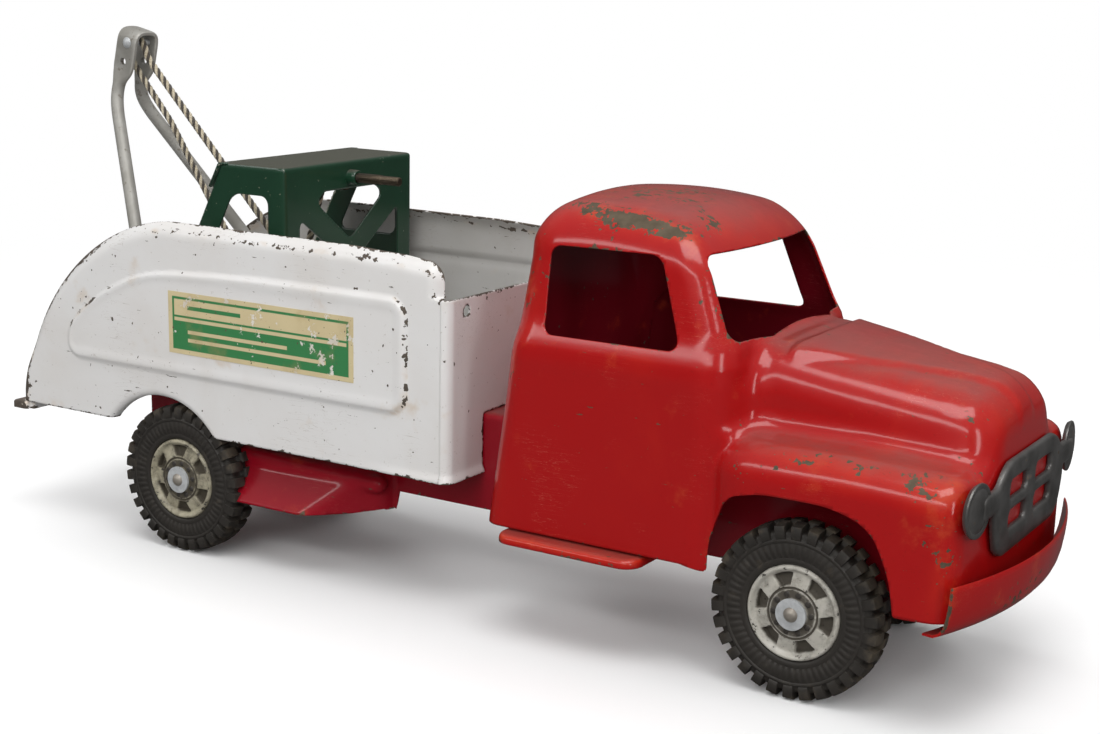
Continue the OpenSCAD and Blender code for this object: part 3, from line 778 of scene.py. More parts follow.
def tyre_mesh():
    """Tyre about Y through the origin, with two staggered rows of lugs and plain ribs on its walls."""
    fractions = [0, 0.10, 0.17, 0.205, 0.295, 0.33, 0.42, 0.5, 0.58, 0.67, 0.705, 0.795, 0.83, 0.90]
    f = np.array([(i + q) for i in range(LUGS) for q in fractions])
    angle = 2 * np.pi * f / LUGS
    on = []
    for shift in (0.0, 0.5):
        away = np.abs((f + shift + 0.5) % 1 - 0.5)
        on.append(1 - ramp(away, 0.300, 0.335))
    lug, gap, wall = (np.array(t, float) for t in (TREAD_LUG, TREAD_GAP, TYRE_WALL))
    ribbed = (wall[:, 1] > 27) & (wall[:, 1] < 32)
    columns = []
    for k in range(len(f)):
        halves = []
        for side in (0, 1):
            t = on[side][k]
            rib = 0.32 if 0.16 < f[k] % 0.5 < 0.34 else 0.0
            half = np.concatenate([lug * t + gap * (1 - t), wall + np.outer(ribbed, [rib, 0])])
            halves.append(half * [1 if side == 0 else -1, 1])
        columns.append(np.concatenate([halves[1][::-1], halves[0][1:]]))
    y, radius = np.moveaxis(np.array(columns), -1, 0)
    verts = np.stack([radius * np.sin(angle)[:, None], y, radius * np.cos(angle)[:, None]], -1).reshape(-1, 3)
    return verts, lattice(*y.shape, True, False)


HUB_WINDOWS = 6
HUB_NUTS = 10


def hub_face(r, a):
    """Height of the hub's outer face over the wheel's middle plane, how dirty it is and where a nut is."""
    y = np.interp(r, [0, 11.4, 11.9, 12.3, 12.8, 19.2, 19.8, 20.6, 21.4, 22.2, 22.8, 23],
                  [8.0, 8.0, 7.4, 7.4, 8.0, 6.6, 6.9, 8.2, 8.7, 8.5, 7.6, 6.0])
    pitch = 2 * np.pi / HUB_WINDOWS
    across = np.abs((a + pitch / 2) % pitch - pitch / 2) * r
    width = np.interp(r, [13.2, 19.2], [2.6, 5.2])
    depth = (1 - ramp(across, width - 0.7, width + 0.3)) * ramp(r, 12.9, 13.8) * (1 - ramp(r, 18.6, 19.5))
    pitch = 2 * np.pi / HUB_NUTS
    off = np.abs((a + pitch / 2) % pitch - pitch / 2) * r
    nut = 1 - ramp(np.hypot(off, r - 9.4), 1.1, 1.6)
    ring = ramp(r, 11.3, 11.8) * (1 - ramp(r, 12.4, 12.9))
    around_nuts = 0.62 * ramp(r, 7.4, 8.2) * (1 - ramp(r, 10.6, 11.4))
    return y - 3.4 * depth + 0.8 * nut, np.clip(depth + ring + around_nuts, 0, 1), nut


def hub_mesh():
    """Wheel disc about Y, with how dirty and how bare each vertex is."""
    radii = [3.05, 5, 7, 7.9, 8.3, 8.8, 9.4, 10, 10.5, 10.9, 11.4, 11.9, 12.3, 12.8, 13.2, 13.6, 14.2, 15, 16,
             17, 18, 18.5, 19, 19.5, 19.9, 20.5, 21, 21.5, 22, 22.5, 22.9]
    angle = np.linspace(0, 2 * np.pi, 240, endpoint=False)
    r, a = np.meshgrid(radii, angle, indexing="ij")
    y, dirt, nut = hub_face(r, a)
    back = [(22.9, -7.4), (22.4, -8), (19.4, -8), (19, -7.5), (19, 3.2), (7, 3.2), (7, -8.6), (3.05, -8.6)]
    rings = [np.stack([r * np.sin(a), y, r * np.cos(a)], -1)]
    for radius, height in back:
        rings.append(np.stack([radius * np.sin(angle), 0 * angle + height, radius * np.cos(angle)], -1)[None])
    verts = np.concatenate(rings)
    behind = np.zeros((len(back), len(angle)))
    grime, bare = (np.concatenate([values, behind]).ravel() for values in (dirt, nut))
    return verts.reshape(-1, 3), lattice(*verts.shape[:2], True), grime, bare


# ---------------------------------------------------------------- boom
FOOT = np.array([-190.5, 65.4, 117])
KNEE = np.array([-271, 8.6, 249])
ROD_R = 3.7


def head_x(z):
    """Middle of the cheeks above the knees: bent forward, then nearly upright."""
    return np.interp(z, [249, 262, 268, 279, 287], [-271, -264, -262.3, -259.8, -258])


def boom_mesh():
    """Rod bent into two legs that flatten into cheeks and meet over the cord's wheel."""
    half = [FOOT - [0, 11.0, 0], FOOT - [0, 4, 0], FOOT, KNEE]
    for y, z in ((8.6, 262), (8.6, 268), (8.6, 278), (8.6, 281.4), (7.9, 283.8), (6.2, 285.3), (3.6, 285.7)):
        half.append(np.array([head_x(z), y, z]))
    top = np.array([head_x(285.8), 0, 285.8])
    path = half + [top] + [h * [1, -1, 1] for h in half[::-1]]
    leg, _ = soften(path, 1.5, 4)
    # the knee is a wider bend than the loop's corners
    smooth = leg.copy()
    for _ in range(60):
        smooth[1:-1] = (smooth[:-2] + 2 * smooth[1:-1] + smooth[2:]) / 4
    weight = (1 - ramp(np.abs(leg[:, 2] - KNEE[2]), 8, 17))[:, None]
    leg = leg * (1 - weight) + smooth * weight
    wide, thick = axes_along(leg, np.array([1.0, 0, -0.22]))
    flat = ramp(leg[:, 2], 253, 266)
    wide_r = ROD_R + (7.5 - ROD_R) * flat
    thick_r = ROD_R + (1.5 - ROD_R) * flat
    cos, sin = circle(28)
    sections = []
    for i in range(len(leg)):
        power = 1 - 0.55 * flat[i]
        u = np.sign(cos) * np.abs(cos) ** power * wide_r[i]
        v = np.sign(sin) * np.abs(sin) ** power * thick_r[i]
        shrink = 2.5 / ROD_R if abs(leg[i, 1]) < 57 and leg[i, 2] < 119 else 1.0
        sections.append(np.stack([u, v], 1) * shrink)
    return sweep(leg, wide, thick, sections)


def cut_hole(piece, centre, radius, length):
    """A round hole along Y through a mesh, cut and applied."""
    bpy.ops.mesh.primitive_cylinder_add(vertices=32, radius=radius * MM, depth=length * MM,
                                        location=[c * MM for c in centre], rotation=(math.pi / 2, 0, 0))
    tool = bpy.context.object
    cutter = piece.modifiers.new("hole", "BOOLEAN")
    cutter.operation, cutter.object, cutter.solver = "DIFFERENCE", tool, "EXACT"
    graph = bpy.context.evaluated_depsgraph_get()
    cut = bpy.data.meshes.new_from_object(piece.evaluated_get(graph))
    piece.modifiers.clear()
    piece.data = cut
    cut.set_sharp_from_angle(angle=math.radians(35))
    bpy.data.objects.remove(tool)


# ---------------------------------------------------------------- cords
ACROSS = np.array([0, 1.0, 0])
STRANDS, CORD_PITCH = 4, 12.5
STRAND_R, STRAND_OUT = 0.52, 0.56        # radius and place of a strand, as parts of the cord's radius


def cord_mesh(points, radius):
    """Four strands laid round a path, light and dark in turn, and each face's material number."""
    path, at = soften(points, 1.2, 10)
    wide, thick = axes_along(path, ACROSS)
    section = np.stack(circle(8), 1) * radius * STRAND_R
    parts, kinds = [], []
    for strand in range(STRANDS):
        phase = 2 * np.pi * (at / CORD_PITCH + strand / STRANDS)
        around = wide * np.cos(phase)[:, None] + thick * np.sin(phase)[:, None]
        centres = path + around * radius * STRAND_OUT
        parts.append(sweep(centres, *axes_along(centres, ACROSS), [section] * len(centres)))
        kinds += [strand % 2] * len(parts[-1][1])
    return *combine(*parts), kinds


WINCH_CORD = [(-259.2, 0, 281.6), (-256.6, 0, 281.0), (-254.9, 0, 277.4), (-252, 0, 270.0), (-148, 0, 164.6),
              (-140, 0, 161.3), (-132.6, 0, 168.5), (-122, 0, 203)]
HOOK_CORD = [(-264.5, 0, 268.5), (-262.8, 0, 266.0), (-261.1, 0, 263.5), (-234.9, 0, 234), (-208, 0, 194),
             (-176.8, 0, 149.2), (-176.0, 0, 147.0)]


# ---------------------------------------------------------------- winch shaft
def shaft_mesh():
    """Shaft along X with a turned-down, threaded end."""
    back, shoulder, tip = -143.0, -79.5, -67.5
    x = np.concatenate([[back, back, back + 0.5], np.linspace(back + 1, shoulder - 0.4, 8),
                        np.arange(shoulder, tip - 0.6, 0.12), [tip - 0.3, tip, tip]])
    r = np.full(len(x), 2.75)
    r[0] = 0.01
    r[1] = 2.3
    on_end = x >= shoulder
    r[on_end] = 2.3
    r[-2:] = [1.9, 0.01]
    n, pitch, depth = 28, 0.9, 0.4
    turn = np.arange(n) / n
    cos, sin = circle(n)
    verts = []
    for xi, ri, end in zip(x, r, on_end):
        threaded = end and xi < tip - 0.5
        radius = ri + depth * threaded * np.abs((xi / pitch + turn) % 1 - 0.5)
        verts.append(np.stack([0 * turn + xi, radius * cos, radius * sin], 1))
    return np.concatenate(verts) + [0, 0, SHAFT_Z], lattice(len(x), n)


# ---------------------------------------------------------------- materials
class Paint:
    """A material's node graph with short ways to add the usual nodes; coordinates are metres."""

    def __init__(self, name):
        self.material = bpy.data.materials.new(name)
        self.material.use_nodes = True
        self.tree = self.material.node_tree
        self.shader = self.tree.nodes["Principled BSDF"]
        self.coords = self.tree.nodes.new("ShaderNodeTexCoord").outputs["Object"]
        self.normal = self.tree.nodes.new("ShaderNodeNewGeometry").outputs["Normal"]

    def put(self, socket, value):
        """Link or set an input."""
        if isinstance(value, bpy.types.NodeSocket):
            self.tree.links.new(value, socket)
        elif isinstance(value, tuple) and len(value) == 3 and len(socket.default_value) == 4:
            socket.default_value = (*value, 1)
        else:
            socket.default_value = value

    def math(self, op, a, b=0.0, clamp=False):
        n = self.tree.nodes.new("ShaderNodeMath")
        n.operation, n.use_clamp = op, clamp
        self.put(n.inputs[0], a)
        self.put(n.inputs[1], b)
        return n.outputs[0]

    def total(self, *terms):
        out = terms[0]
        for t in terms[1:]:
            out = self.math("ADD", out, t)
        return out

    def times(self, a, b):
        return self.math("MULTIPLY", a, b)

    def mixed(self, *terms):
        """Sum of values, each followed by its weight."""
        return self.total(*[self.times(v, w) for v, w in zip(terms[::2], terms[1::2])])

    def rest(self, value):
        return self.math("SUBTRACT", 1.0, value)

    def largest(self, a, b):
        return self.math("MAXIMUM", a, b)

    def marks(self):
        return self.attr("rim"), self.attr("fold"), self.attr("wear")

    def step(self, value, low, high):
        n = self.tree.nodes.new("ShaderNodeMapRange")
        n.interpolation_type = "SMOOTHSTEP"
        self.put(n.inputs[0], value)
        self.put(n.inputs[1], low)
        self.put(n.inputs[2], high)
        return n.outputs[0]

    def stretched(self, scale):
        n = self.tree.nodes.new("ShaderNodeMapping")
        self.put(n.inputs["Vector"], self.coords)
        n.inputs["Scale"].default_value = scale
        return n.outputs[0]

    def noise(self, scale, detail=3.0, rough=0.55, warp=0.0, where=None):
        n = self.tree.nodes.new("ShaderNodeTexNoise")
        self.put(n.inputs["Vector"], where or self.coords)
        for key, value in (("Scale", scale), ("Detail", detail), ("Roughness", rough), ("Distortion", warp)):
            n.inputs[key].default_value = value
        return n.outputs["Fac"]

    def attr(self, name):
        n = self.tree.nodes.new("ShaderNodeAttribute")
        n.attribute_name = name
        return n.outputs["Fac"]

    def axis(self, i, vector=None):
        n = self.tree.nodes.new("ShaderNodeSeparateXYZ")
        self.put(n.inputs[0], vector or self.coords)
        return n.outputs[i]

    def blend(self, fac, a, b):
        n = self.tree.nodes.new("ShaderNodeMix")
        n.data_type = "RGBA"
        self.put(n.inputs[0], fac)
        self.put(n.inputs[6], a)
        self.put(n.inputs[7], b)
        return n.outputs[2]

    def bump(self, height, depth_mm, strength=1.0):
        n = self.tree.nodes.new("ShaderNodeBump")
        n.inputs["Strength"].default_value = strength
        n.inputs["Distance"].default_value = depth_mm * MM
        self.put(n.inputs["Height"], height)
        self.put(self.shader.inputs["Normal"], n.outputs[0])

    def finish(self, color, rough, metal=0.0, coat=0.0, coat_rough=0.06):
        for key, value in (("Base Color", color), ("Roughness", rough), ("Metallic", metal),
                           ("Coat Weight", coat), ("Coat Roughness", coat_rough)):
            self.put(self.shader.inputs[key], value)
        return self.material


def speckle(g, bias, fine=520.0, coarse=70.0, level=0.72, soft=0.012):
    """Mask of paint chips: a fine noise over a coarse one, pushed up where the bias says."""
    a = g.noise(fine, 2.0, 0.6)
    b = g.noise(coarse, 4.0, 0.65)
    field = g.total(g.times(a, 0.5), g.times(b, 0.5), bias)
    return g.step(field, level, level + soft)


def scratches(g, scale, width=0.012):
    """Thin lines from the middle level of a stretched noise."""
    lines = g.noise(1.0, 2.0, 0.5, 0.3, g.stretched(scale))
    middle = g.math("ABSOLUTE", g.math("SUBTRACT", lines, 0.5))
    gate = g.step(g.noise(22.0, 2.0), 0.52, 0.62)
    return g.times(g.rest(g.step(middle, 0.0, width)), gate)


def red_enamel(name, deep, bright, coat, chip_gain=1.0):
    """Worn red paint with chips down to dark metal."""
    g = Paint(name)
    rim, fold, wear = g.marks()
    up = g.axis(2, g.normal)
    # towards orange on upward faces, a painted highlight of the overhead light, and sun-faded in folds and in
    # cloudy patches
    clouds = g.noise(14.0, 4.0, 0.6, 0.4)
    fade_and_top_light = g.mixed(clouds, 0.8, up, 0.22, fold, 0.40, wear, 0.35)
    color = g.blend(g.step(fade_and_top_light, 0.40, 1.0), deep, bright)
    # grey veil on upward faces: dust, and a painted sheen of the bright overhead light
    dust = g.times(g.step(g.total(up, g.times(g.noise(40.0, 5.0, 0.7), 0.7)), 1.0, 1.5), 0.50)
    color = g.blend(dust, color, (0.15, 0.078, 0.066))
    fine = g.noise(900.0, 2.0)
    color = g.blend(g.times(g.step(fine, 0.62, 0.75), 0.25), color, (0.07, 0.008, 0.006))
    rubbed = g.total(g.noise(45.0, 5.0, 0.7), g.times(fold, 0.25), g.times(wear, 0.3))
    color = g.blend(g.times(g.step(rubbed, 0.60, 0.80), 0.55), color, (0.46, 0.055, 0.018))
    # chips: flakes where the wear is, short flecks along the truck, and a nibbled rim
    bias = g.mixed(rim, 0.11 * chip_gain, fold, 0.055 * chip_gain, wear, 0.36)
    flakes = speckle(g, bias, 330.0, 52.0, 0.662)
    drawn = g.noise(1.0, 4.0, 0.65, 0.0, g.stretched((90, 380, 380)))
    flecks = g.step(g.total(drawn, g.times(wear, 0.22)), 0.70, 0.712)
    chips = g.largest(flakes, g.times(flecks, chip_gain))
    metal = g.blend(g.noise(160.0, 3.0), (0.050, 0.038, 0.025), (0.17, 0.135, 0.095))
    color = g.blend(chips, color, metal)
    lines = g.times(scratches(g, (60, 300, 700), 0.006), 0.35)
    color = g.blend(lines, color, (0.60, 0.20, 0.14))
    g.put(g.shader.inputs["Specular IOR Level"], 0.12)
    rough = g.total(0.25, g.times(g.noise(30.0, 3.0), 0.12), g.times(dust, 0.45), g.times(chips, 0.28))
    g.bump(g.mixed(chips, -0.6, g.noise(60.0, 2.0), 0.2), 0.12, 0.5)
    return g.finish(color, rough, g.times(chips, 0.35), g.times(g.rest(chips), coat), 0.13)


def white_enamel(name, clean, stained):
    """Stained off-white paint with chips and flecks."""
    g = Paint(name)
    rim, fold, wear = g.marks()
    stain = g.noise(11.0, 4.0, 0.6, 0.5)
    color = g.blend(g.step(stain, 0.35, 0.75), clean, stained)
    warm = g.total(g.noise(38.0, 4.0, 0.6), g.times(fold, 0.12), g.times(wear, 0.25))
    color = g.blend(g.times(g.step(warm, 0.60, 0.82), 0.6), color, (0.55, 0.42, 0.29))
    dirt = g.times(g.step(g.noise(420.0, 3.0, 0.6), 0.66, 0.74), 0.32)
    color = g.blend(dirt, color, (0.30, 0.24, 0.18))
    bias = g.mixed(rim, 0.19, fold, 0.060, wear, 0.32)
    chips = speckle(g, bias, 340.0, 70.0, 0.672)
    drawn = g.noise(1.0, 4.0, 0.65, 0.0, g.stretched((80, 360, 420)))
    flecks = g.step(g.total(drawn, g.times(wear, 0.20)), 0.705, 0.717)
    specks = g.step(g.noise(300.0, 1.0, 0.5), 0.775, 0.785)
    chips = g.largest(chips, g.largest(specks, flecks))
    metal = g.blend(g.noise(200.0, 3.0), (0.035, 0.030, 0.026), (0.17, 0.135, 0.105))
    color = g.blend(chips, color, metal)
    lines = g.times(scratches(g, (50, 300, 420), 0.007), 0.55)
    color = g.blend(lines, color, (0.30, 0.25, 0.21))
    rough = g.total(0.32, g.times(stain, 0.14), g.times(chips, 0.3))
    g.bump(g.mixed(chips, -0.6, g.noise(45.0, 2.0), 0.5), 0.12, 0.55)
    return g.finish(color, rough, g.times(chips, 0.3), g.times(g.rest(chips), 0.3))


def green_enamel():
    """Dusty dark green paint, worn to pale metal at its edges."""
    g = Paint("green_enamel")
    rim, fold, wear = g.marks()
    up = g.axis(2, g.normal)
    color = g.blend(g.noise(16.0, 4.0, 0.6, 0.4), (0.0055, 0.026, 0.013), (0.012, 0.050, 0.025))
    dust = g.times(g.step(g.total(up, g.times(g.noise(55.0, 5.0, 0.7), 0.5)), 0.80, 1.25), 0.85)
    color = g.blend(dust, color, (0.060, 0.056, 0.042))
    worn = g.step(g.mixed(rim, 0.12, fold, 0.28, wear, 0.3, g.noise(230.0, 4.0, 0.7), 0.75), 0.62, 0.67)
    color = g.blend(g.times(worn, 0.8), color, (0.34, 0.35, 0.28))
    specks = g.step(g.noise(480.0, 2.0, 0.6), 0.735, 0.75)
    color = g.blend(specks, color, (0.25, 0.27, 0.20))
    rough = g.total(0.28, g.times(dust, 0.4), g.times(worn, 0.2))
    g.bump(g.noise(70.0, 3.0), 0.1, 0.5)
    return g.finish(color, rough, 0.0, g.times(g.rest(dust), 0.3))


def metal(name, low, high, rough, spots, spot_level, grain=60, metallic=0.95):
    """Bare or plated metal with cloudy tarnish; grain is one scale or a scale for each axis."""
    g = Paint(name)
    streak = g.noise(1.0, 3.0, 0.6, 0.0, g.stretched((grain,) * 3 if np.isscalar(grain) else grain))
    cloud = g.noise(45.0, 4.0, 0.6)
    color = g.blend(g.step(g.mixed(streak, 0.5, cloud, 0.5), 0.35, 0.65), low, high)
    tarnish = g.step(g.mixed(g.noise(260.0, 4.0, 0.65), 0.6, g.noise(60.0, 3.0), 0.4),
                     spot_level, spot_level + 0.06)
    edge = g.times(g.attr("fold"), 0.35)
    color = g.blend(g.times(tarnish, 0.8), color, spots)
    color = g.blend(edge, color, tuple(min(1.0, c * 1.9) for c in high))
    g.bump(g.mixed(streak, 0.4, cloud, 0.6), 0.08, 0.45)
    return g.finish(color, g.total(rough, g.times(tarnish, 0.25), g.times(cloud, 0.08)),
                    g.math("SUBTRACT", metallic, g.times(tarnish, 0.5)))


def tyre_rubber():
    """Old rubber with brown dust, most of it on the tread."""
    g = Paint("tyre_rubber")
    radius = g.attr("tread")
    dust = g.step(g.mixed(g.noise(75.0, 5.0, 0.7), 0.8, radius, 0.14), 0.46, 0.64)
    color = g.blend(g.noise(35.0, 4.0), (0.015, 0.013, 0.011), (0.034, 0.029, 0.024))
    color = g.blend(g.times(dust, 0.45), color, (0.125, 0.097, 0.063))
    worn = g.times(g.step(g.noise(190.0, 4.0, 0.7), 0.56, 0.70), 0.35)
    color = g.blend(worn, color, (0.062, 0.053, 0.042))
    g.bump(g.mixed(g.noise(600.0, 3.0, 0.6), 0.5, g.noise(90.0, 3.0), 0.5), 0.2, 0.6)
    return g.finish(color, g.total(0.58, g.times(dust, 0.3)))


def hub_enamel(name, clean, stained, dirt):
    """Cream paint with soot in the openings and bare nuts."""
    g = Paint(name)
    grime, bare = g.attr("grime"), g.attr("bare")
    color = g.blend(g.noise(60.0, 4.0, 0.6), clean, stained)
    soot = g.step(g.total(g.times(grime, 0.50), g.times(g.noise(150.0, 5.0, 0.7), 0.85), dirt), 0.42, 0.80)
    color = g.blend(g.times(soot, 0.92), color, (0.042, 0.033, 0.022))
    chips = g.step(g.mixed(g.noise(300.0, 4.0, 0.7), 0.8, bare, 0.30, g.attr("fold"), 0.06),
                   0.515, 0.54)
    color = g.blend(chips, color, (0.035, 0.030, 0.025))
    g.bump(g.mixed(chips, -0.5, g.noise(200.0, 3.0), 0.4), 0.12, 0.6)
    return g.finish(color, g.total(0.38, g.times(soot, 0.35)), 0.0, 0.12)


def cord_yarn(name, low, high):
    """Fibres of one strand."""
    g = Paint(name)
    fibre = g.noise(900.0, 3.0, 0.7)
    color = g.blend(g.step(fibre, 0.35, 0.65), low, high)
    color = g.blend(g.times(g.step(g.noise(90.0, 3.0), 0.5, 0.75), 0.45), color, (0.13, 0.10, 0.06))
    g.bump(fibre, 0.25, 0.8)
    g.put(g.shader.inputs["Sheen Weight"], 0.3)
    return g.finish(color, 0.85)


def label_print():
    """Cream transfer with a green frame, a green lower half and plain cream bars; worn through in places."""
    g = Paint("label_print")
    low, high = box_mm("right_label")
    x, z = g.axis(0), g.axis(2)

    def inside(u0, u1, v0, v1):
        soft = 0.00012
        parts = [g.step(x, u0 * MM - soft, u0 * MM + soft), g.step(x, u1 * MM + soft, u1 * MM - soft),
                 g.step(z, v0 * MM - soft, v0 * MM + soft), g.step(z, v1 * MM + soft, v1 * MM - soft)]
        out = parts[0]
        for part in parts[1:]:
            out = g.times(out, part)
        return out

    x0, z0, x1, z1 = low[0], low[2], high[0], high[2]
    green = (0.035, 0.20, 0.065)
    cream = g.blend(g.noise(40.0, 4.0, 0.6), (0.66, 0.56, 0.33), (0.52, 0.42, 0.24))
    frame_mask = g.times(inside(x0 + 3, x1 - 3, z0 + 2.6, z1 - 2.6),
                         g.rest(inside(x0 + 4.4, x1 - 4.4, z0 + 4, z1 - 4)))
    lower = inside(x0 + 3.2, x1 - 3.2, z0 + 2.8, z0 + 18.5)
    stripe = inside(x0 + 3.2, x1 - 3.2, z0 + 20.4, z0 + 21.6)
    color = g.blend(g.largest(g.largest(frame_mask, lower), stripe), cream, green)
    for k, length in enumerate((96, 70)):
        bar = inside(x0 + 14, x0 + 14 + length, z0 + 7.2 + 4.6 * k, z0 + 9.2 + 4.6 * k)
        color = g.blend(bar, color, cream)
    bar = inside(x0 + 14, x0 + 52, z1 - 9.4, z1 - 7.2)
    color = g.blend(bar, color, green)
    torn = g.step(g.mixed(g.noise(120.0, 5.0, 0.7), 0.6, g.noise(26.0, 3.0), 0.4), 0.60, 0.615)
    color = g.blend(torn, color, (0.68, 0.65, 0.60))
    age = g.times(g.step(g.noise(60.0, 4.0, 0.6), 0.52, 0.78), 0.4)
    color = g.blend(age, color, (0.36, 0.24, 0.10))
    specks = g.step(g.noise(520.0, 2.0), 0.70, 0.715)
    color = g.blend(specks, color, (0.10, 0.08, 0.05))
    g.bump(g.noise(300.0, 3.0), 0.05, 0.5)
    return g.finish(color, 0.5, 0.0, 0.1)


RED = red_enamel("red_enamel", (0.34, 0.0045, 0.005), (0.48, 0.024, 0.009), 0.7)
# a darker copy of the red for the chassis: painted shade under the bed and cab
RED_SHADED = red_enamel("red_painted_shade", (0.25, 0.004, 0.012), (0.30, 0.010, 0.016), 0.5)
# a darker copy of the red for the cab's inner faces: painted shade inside the cab
MAROON_SHADED = red_enamel("red_inside_shaded", (0.16, 0.004, 0.011), (0.20, 0.007, 0.016), 0.15, 0.3)
WHITE = white_enamel("white_enamel", (0.71, 0.70, 0.69), (0.655, 0.63, 0.605))
# a darker copy of the white for the bed's inner faces: painted shade inside the bed
BED_INSIDE_SHADED = white_enamel("white_inside_shaded", (0.47, 0.46, 0.445), (0.38, 0.365, 0.34))
GREEN = green_enamel()
ALU = metal("boom_aluminium", (0.25, 0.24, 0.215), (0.36, 0.35, 0.325), 0.48, (0.12, 0.10, 0.078), 0.56,
            metallic=0.35)
DARK = metal("dark_steel", (0.075, 0.072, 0.068), (0.155, 0.150, 0.145), 0.33, (0.12, 0.065, 0.03), 0.62,
             metallic=0.7)
BARE = metal("bare_steel", (0.050, 0.043, 0.034), (0.150, 0.115, 0.080), 0.45, (0.030, 0.022, 0.016), 0.56,
             (40, 40, 900))
ZINC = metal("zinc_plate", (0.46, 0.475, 0.48), (0.64, 0.655, 0.665), 0.30, (0.22, 0.19, 0.15), 0.66,
             300, 0.35)
RUBBER = tyre_rubber()
HUB = hub_enamel("hub_enamel", (0.50, 0.485, 0.44), (0.37, 0.345, 0.29), 0.07)
HUB_REAR = hub_enamel("hub_enamel_rear", (0.46, 0.43, 0.33), (0.31, 0.275, 0.185), 0.13)
AXLE = metal("axle_end", (0.20, 0.175, 0.145), (0.38, 0.345, 0.30), 0.40, (0.10, 0.07, 0.045), 0.60,
             metallic=0.5)
CORD = cord_yarn("cord", (0.36, 0.30, 0.20), (0.56, 0.50, 0.38))
CORD_DARK = cord_yarn("cord_dark", (0.03, 0.026, 0.022), (0.075, 0.062, 0.048))
LABEL = label_print()
BY_SLOT = {"red_enamel": RED, "white_enamel": WHITE, "green_enamel": GREEN, "boom_aluminium": ALU,
           "dark_steel": DARK, "bare_steel": BARE, "zinc_plate": ZINC, "tyre_rubber": RUBBER,
           "hub_enamel": HUB, "cord": CORD, "label": LABEL}
for label, slot in SLOTS.items():
    materials = frame["nodes"][label].data.materials
    materials.clear()
    materials.append(AXLE if label.endswith("_axle") else BY_SLOT[slot])


# ---------------------------------------------------------------- pieces
def skin(name, node, mesh, material, inner, marks=(), seams=None, thickness=1.0, sharp=40):
    """A pressed panel: an outer surface that is given its thickness on the inner side."""
    piece = make_piece(name, node, *mesh, [material, inner], sharp=sharp, marks=marks, seams=seams)
    solid = piece.modifiers.new("sheet", "SOLIDIFY")
    solid.thickness = thickness * MM
    solid.offset = -1
    solid.material_offset = 1


CAB_WEAR = [((84, -50, 214), (9, 6, 6), 0.55), ((106, -54, 212), (22, 7, 5), 0.75),
            ((130, -56, 208), (14, 6, 6), 0.60), ((141, -36, 212), (11, 10, 7), 0.34),
            ((98, -12, 221), (32, 26, 6), 0.42), ((70, -30, 218), (16, 12, 6), 0.22),
            ((165, -60, 168), (8, 9, 14), 0.26), ((150, -62, 190), (6, 9, 18), 0.20),
            ((226, -72, 117), (16, 7, 5), 0.40), ((203, -75, 117), (12, 6, 5), 0.30),
            ((180, -77, 106), (9, 5, 7), 0.24), ((263, -70, 111), (10, 10, 7), 0.50),
            ((273, -70, 98), (8, 12, 14), 0.36), ((275, -74, 76), (6, 8, 14), 0.30),
            ((60, -62, 185), (7, 8, 22), 0.16), ((56, -72, 140), (10, 8, 12), 0.22),
            ((276, -20, 140), (9, 22, 8), 0.18), ((273, -48, 132), (9, 8, 10), 0.20),
            ((118, 50, 212), (30, 12, 9), 0.35), ((273, 68, 96), (10, 12, 14), 0.25),
            ((52, 0, 205), (10, 60, 12), 0.15)]
BED_WEAR = [((4, 66, 182), (10, 8, 6), 0.22), ((-60, 64, 187), (60, 6, 3), 0.10),
            ((-262, 70, 150), (20, 6, 26), 0.08), ((-285, 71, 84), (7, 6, 12), 0.16),
            ((-150, 72, 90), (20, 6, 5), 0.10), ((-12, 73, 150), (3, 3, 16), 0.22),
            ((-236, 72, 139), (14, 3, 9), 0.20), ((-248, 72, 106), (9, 3, 5), 0.16)]

skin("cab_body", "cab_shell", cab_mesh(), RED, MAROON_SHADED, CAB_WEAR, thickness=1.1, sharp=50)
skin("cab_rear_panel", "cab_back_panel", back_panel_mesh(), RED, MAROON_SHADED, thickness=0.8)
left_bed, left_board = bed_side_mesh(), step_mesh()
for side, s, bed, board in (("left", 1, left_bed, left_board),
                            ("right", -1, mirrored(*left_bed), mirrored(*left_board))):
    skin(f"bed_{side}", f"bed_side_{side}", bed, WHITE, BED_INSIDE_SHADED, bed_wear, bed_seams)
    skin(f"step_{side}", f"{side}_step", board, RED, RED, [((90, s * 82, 52), (45, 6, 5), 0.12)])
skin("bed_wall", "bed_front_wall", front_wall_mesh(), WHITE, BED_INSIDE_SHADED, seams=wall_seams)
# the strong marks at the sill's ends give wear and also painted shade under the tail
skin("sill", "rear_sill", sill_mesh(), WHITE, WHITE, [((-299, y, 69), (9, 12, 8), 1.3) for y in (-71, 71)],
     thickness=0.9)
skin("tower", "winch_tower", tower_mesh(), GREEN, GREEN, thickness=1.1)
make_piece("collar", "shaft_bushing", *collar_mesh(), [GREEN])
skin("chassis_channel", "chassis_frame", chassis_mesh(), RED_SHADED, RED_SHADED,
     [((-84, y, 40), (12, 8, 5), 0.2) for y in (-68, 68)])
make_piece("bumper", "front_bumper", *bumper_mesh(), [RED],
           marks=[((281, -84, 62), (6, 3.0, 18), 0.9), ((281, 84, 62), (6, 3.0, 18), 0.9),
                  ((297, 0, 53), (60, 90, 4), 0.22), ((294, -30, 62), (14, 40, 6), 0.22),
                  ((299, 0, 74.6), (60, 90, 1.2), 0.12)])
lamp = lamp_mesh()
make_piece("grille", "grille_headlights", *combine(grille_mesh(), lamp, mirrored(*lamp)), [DARK])

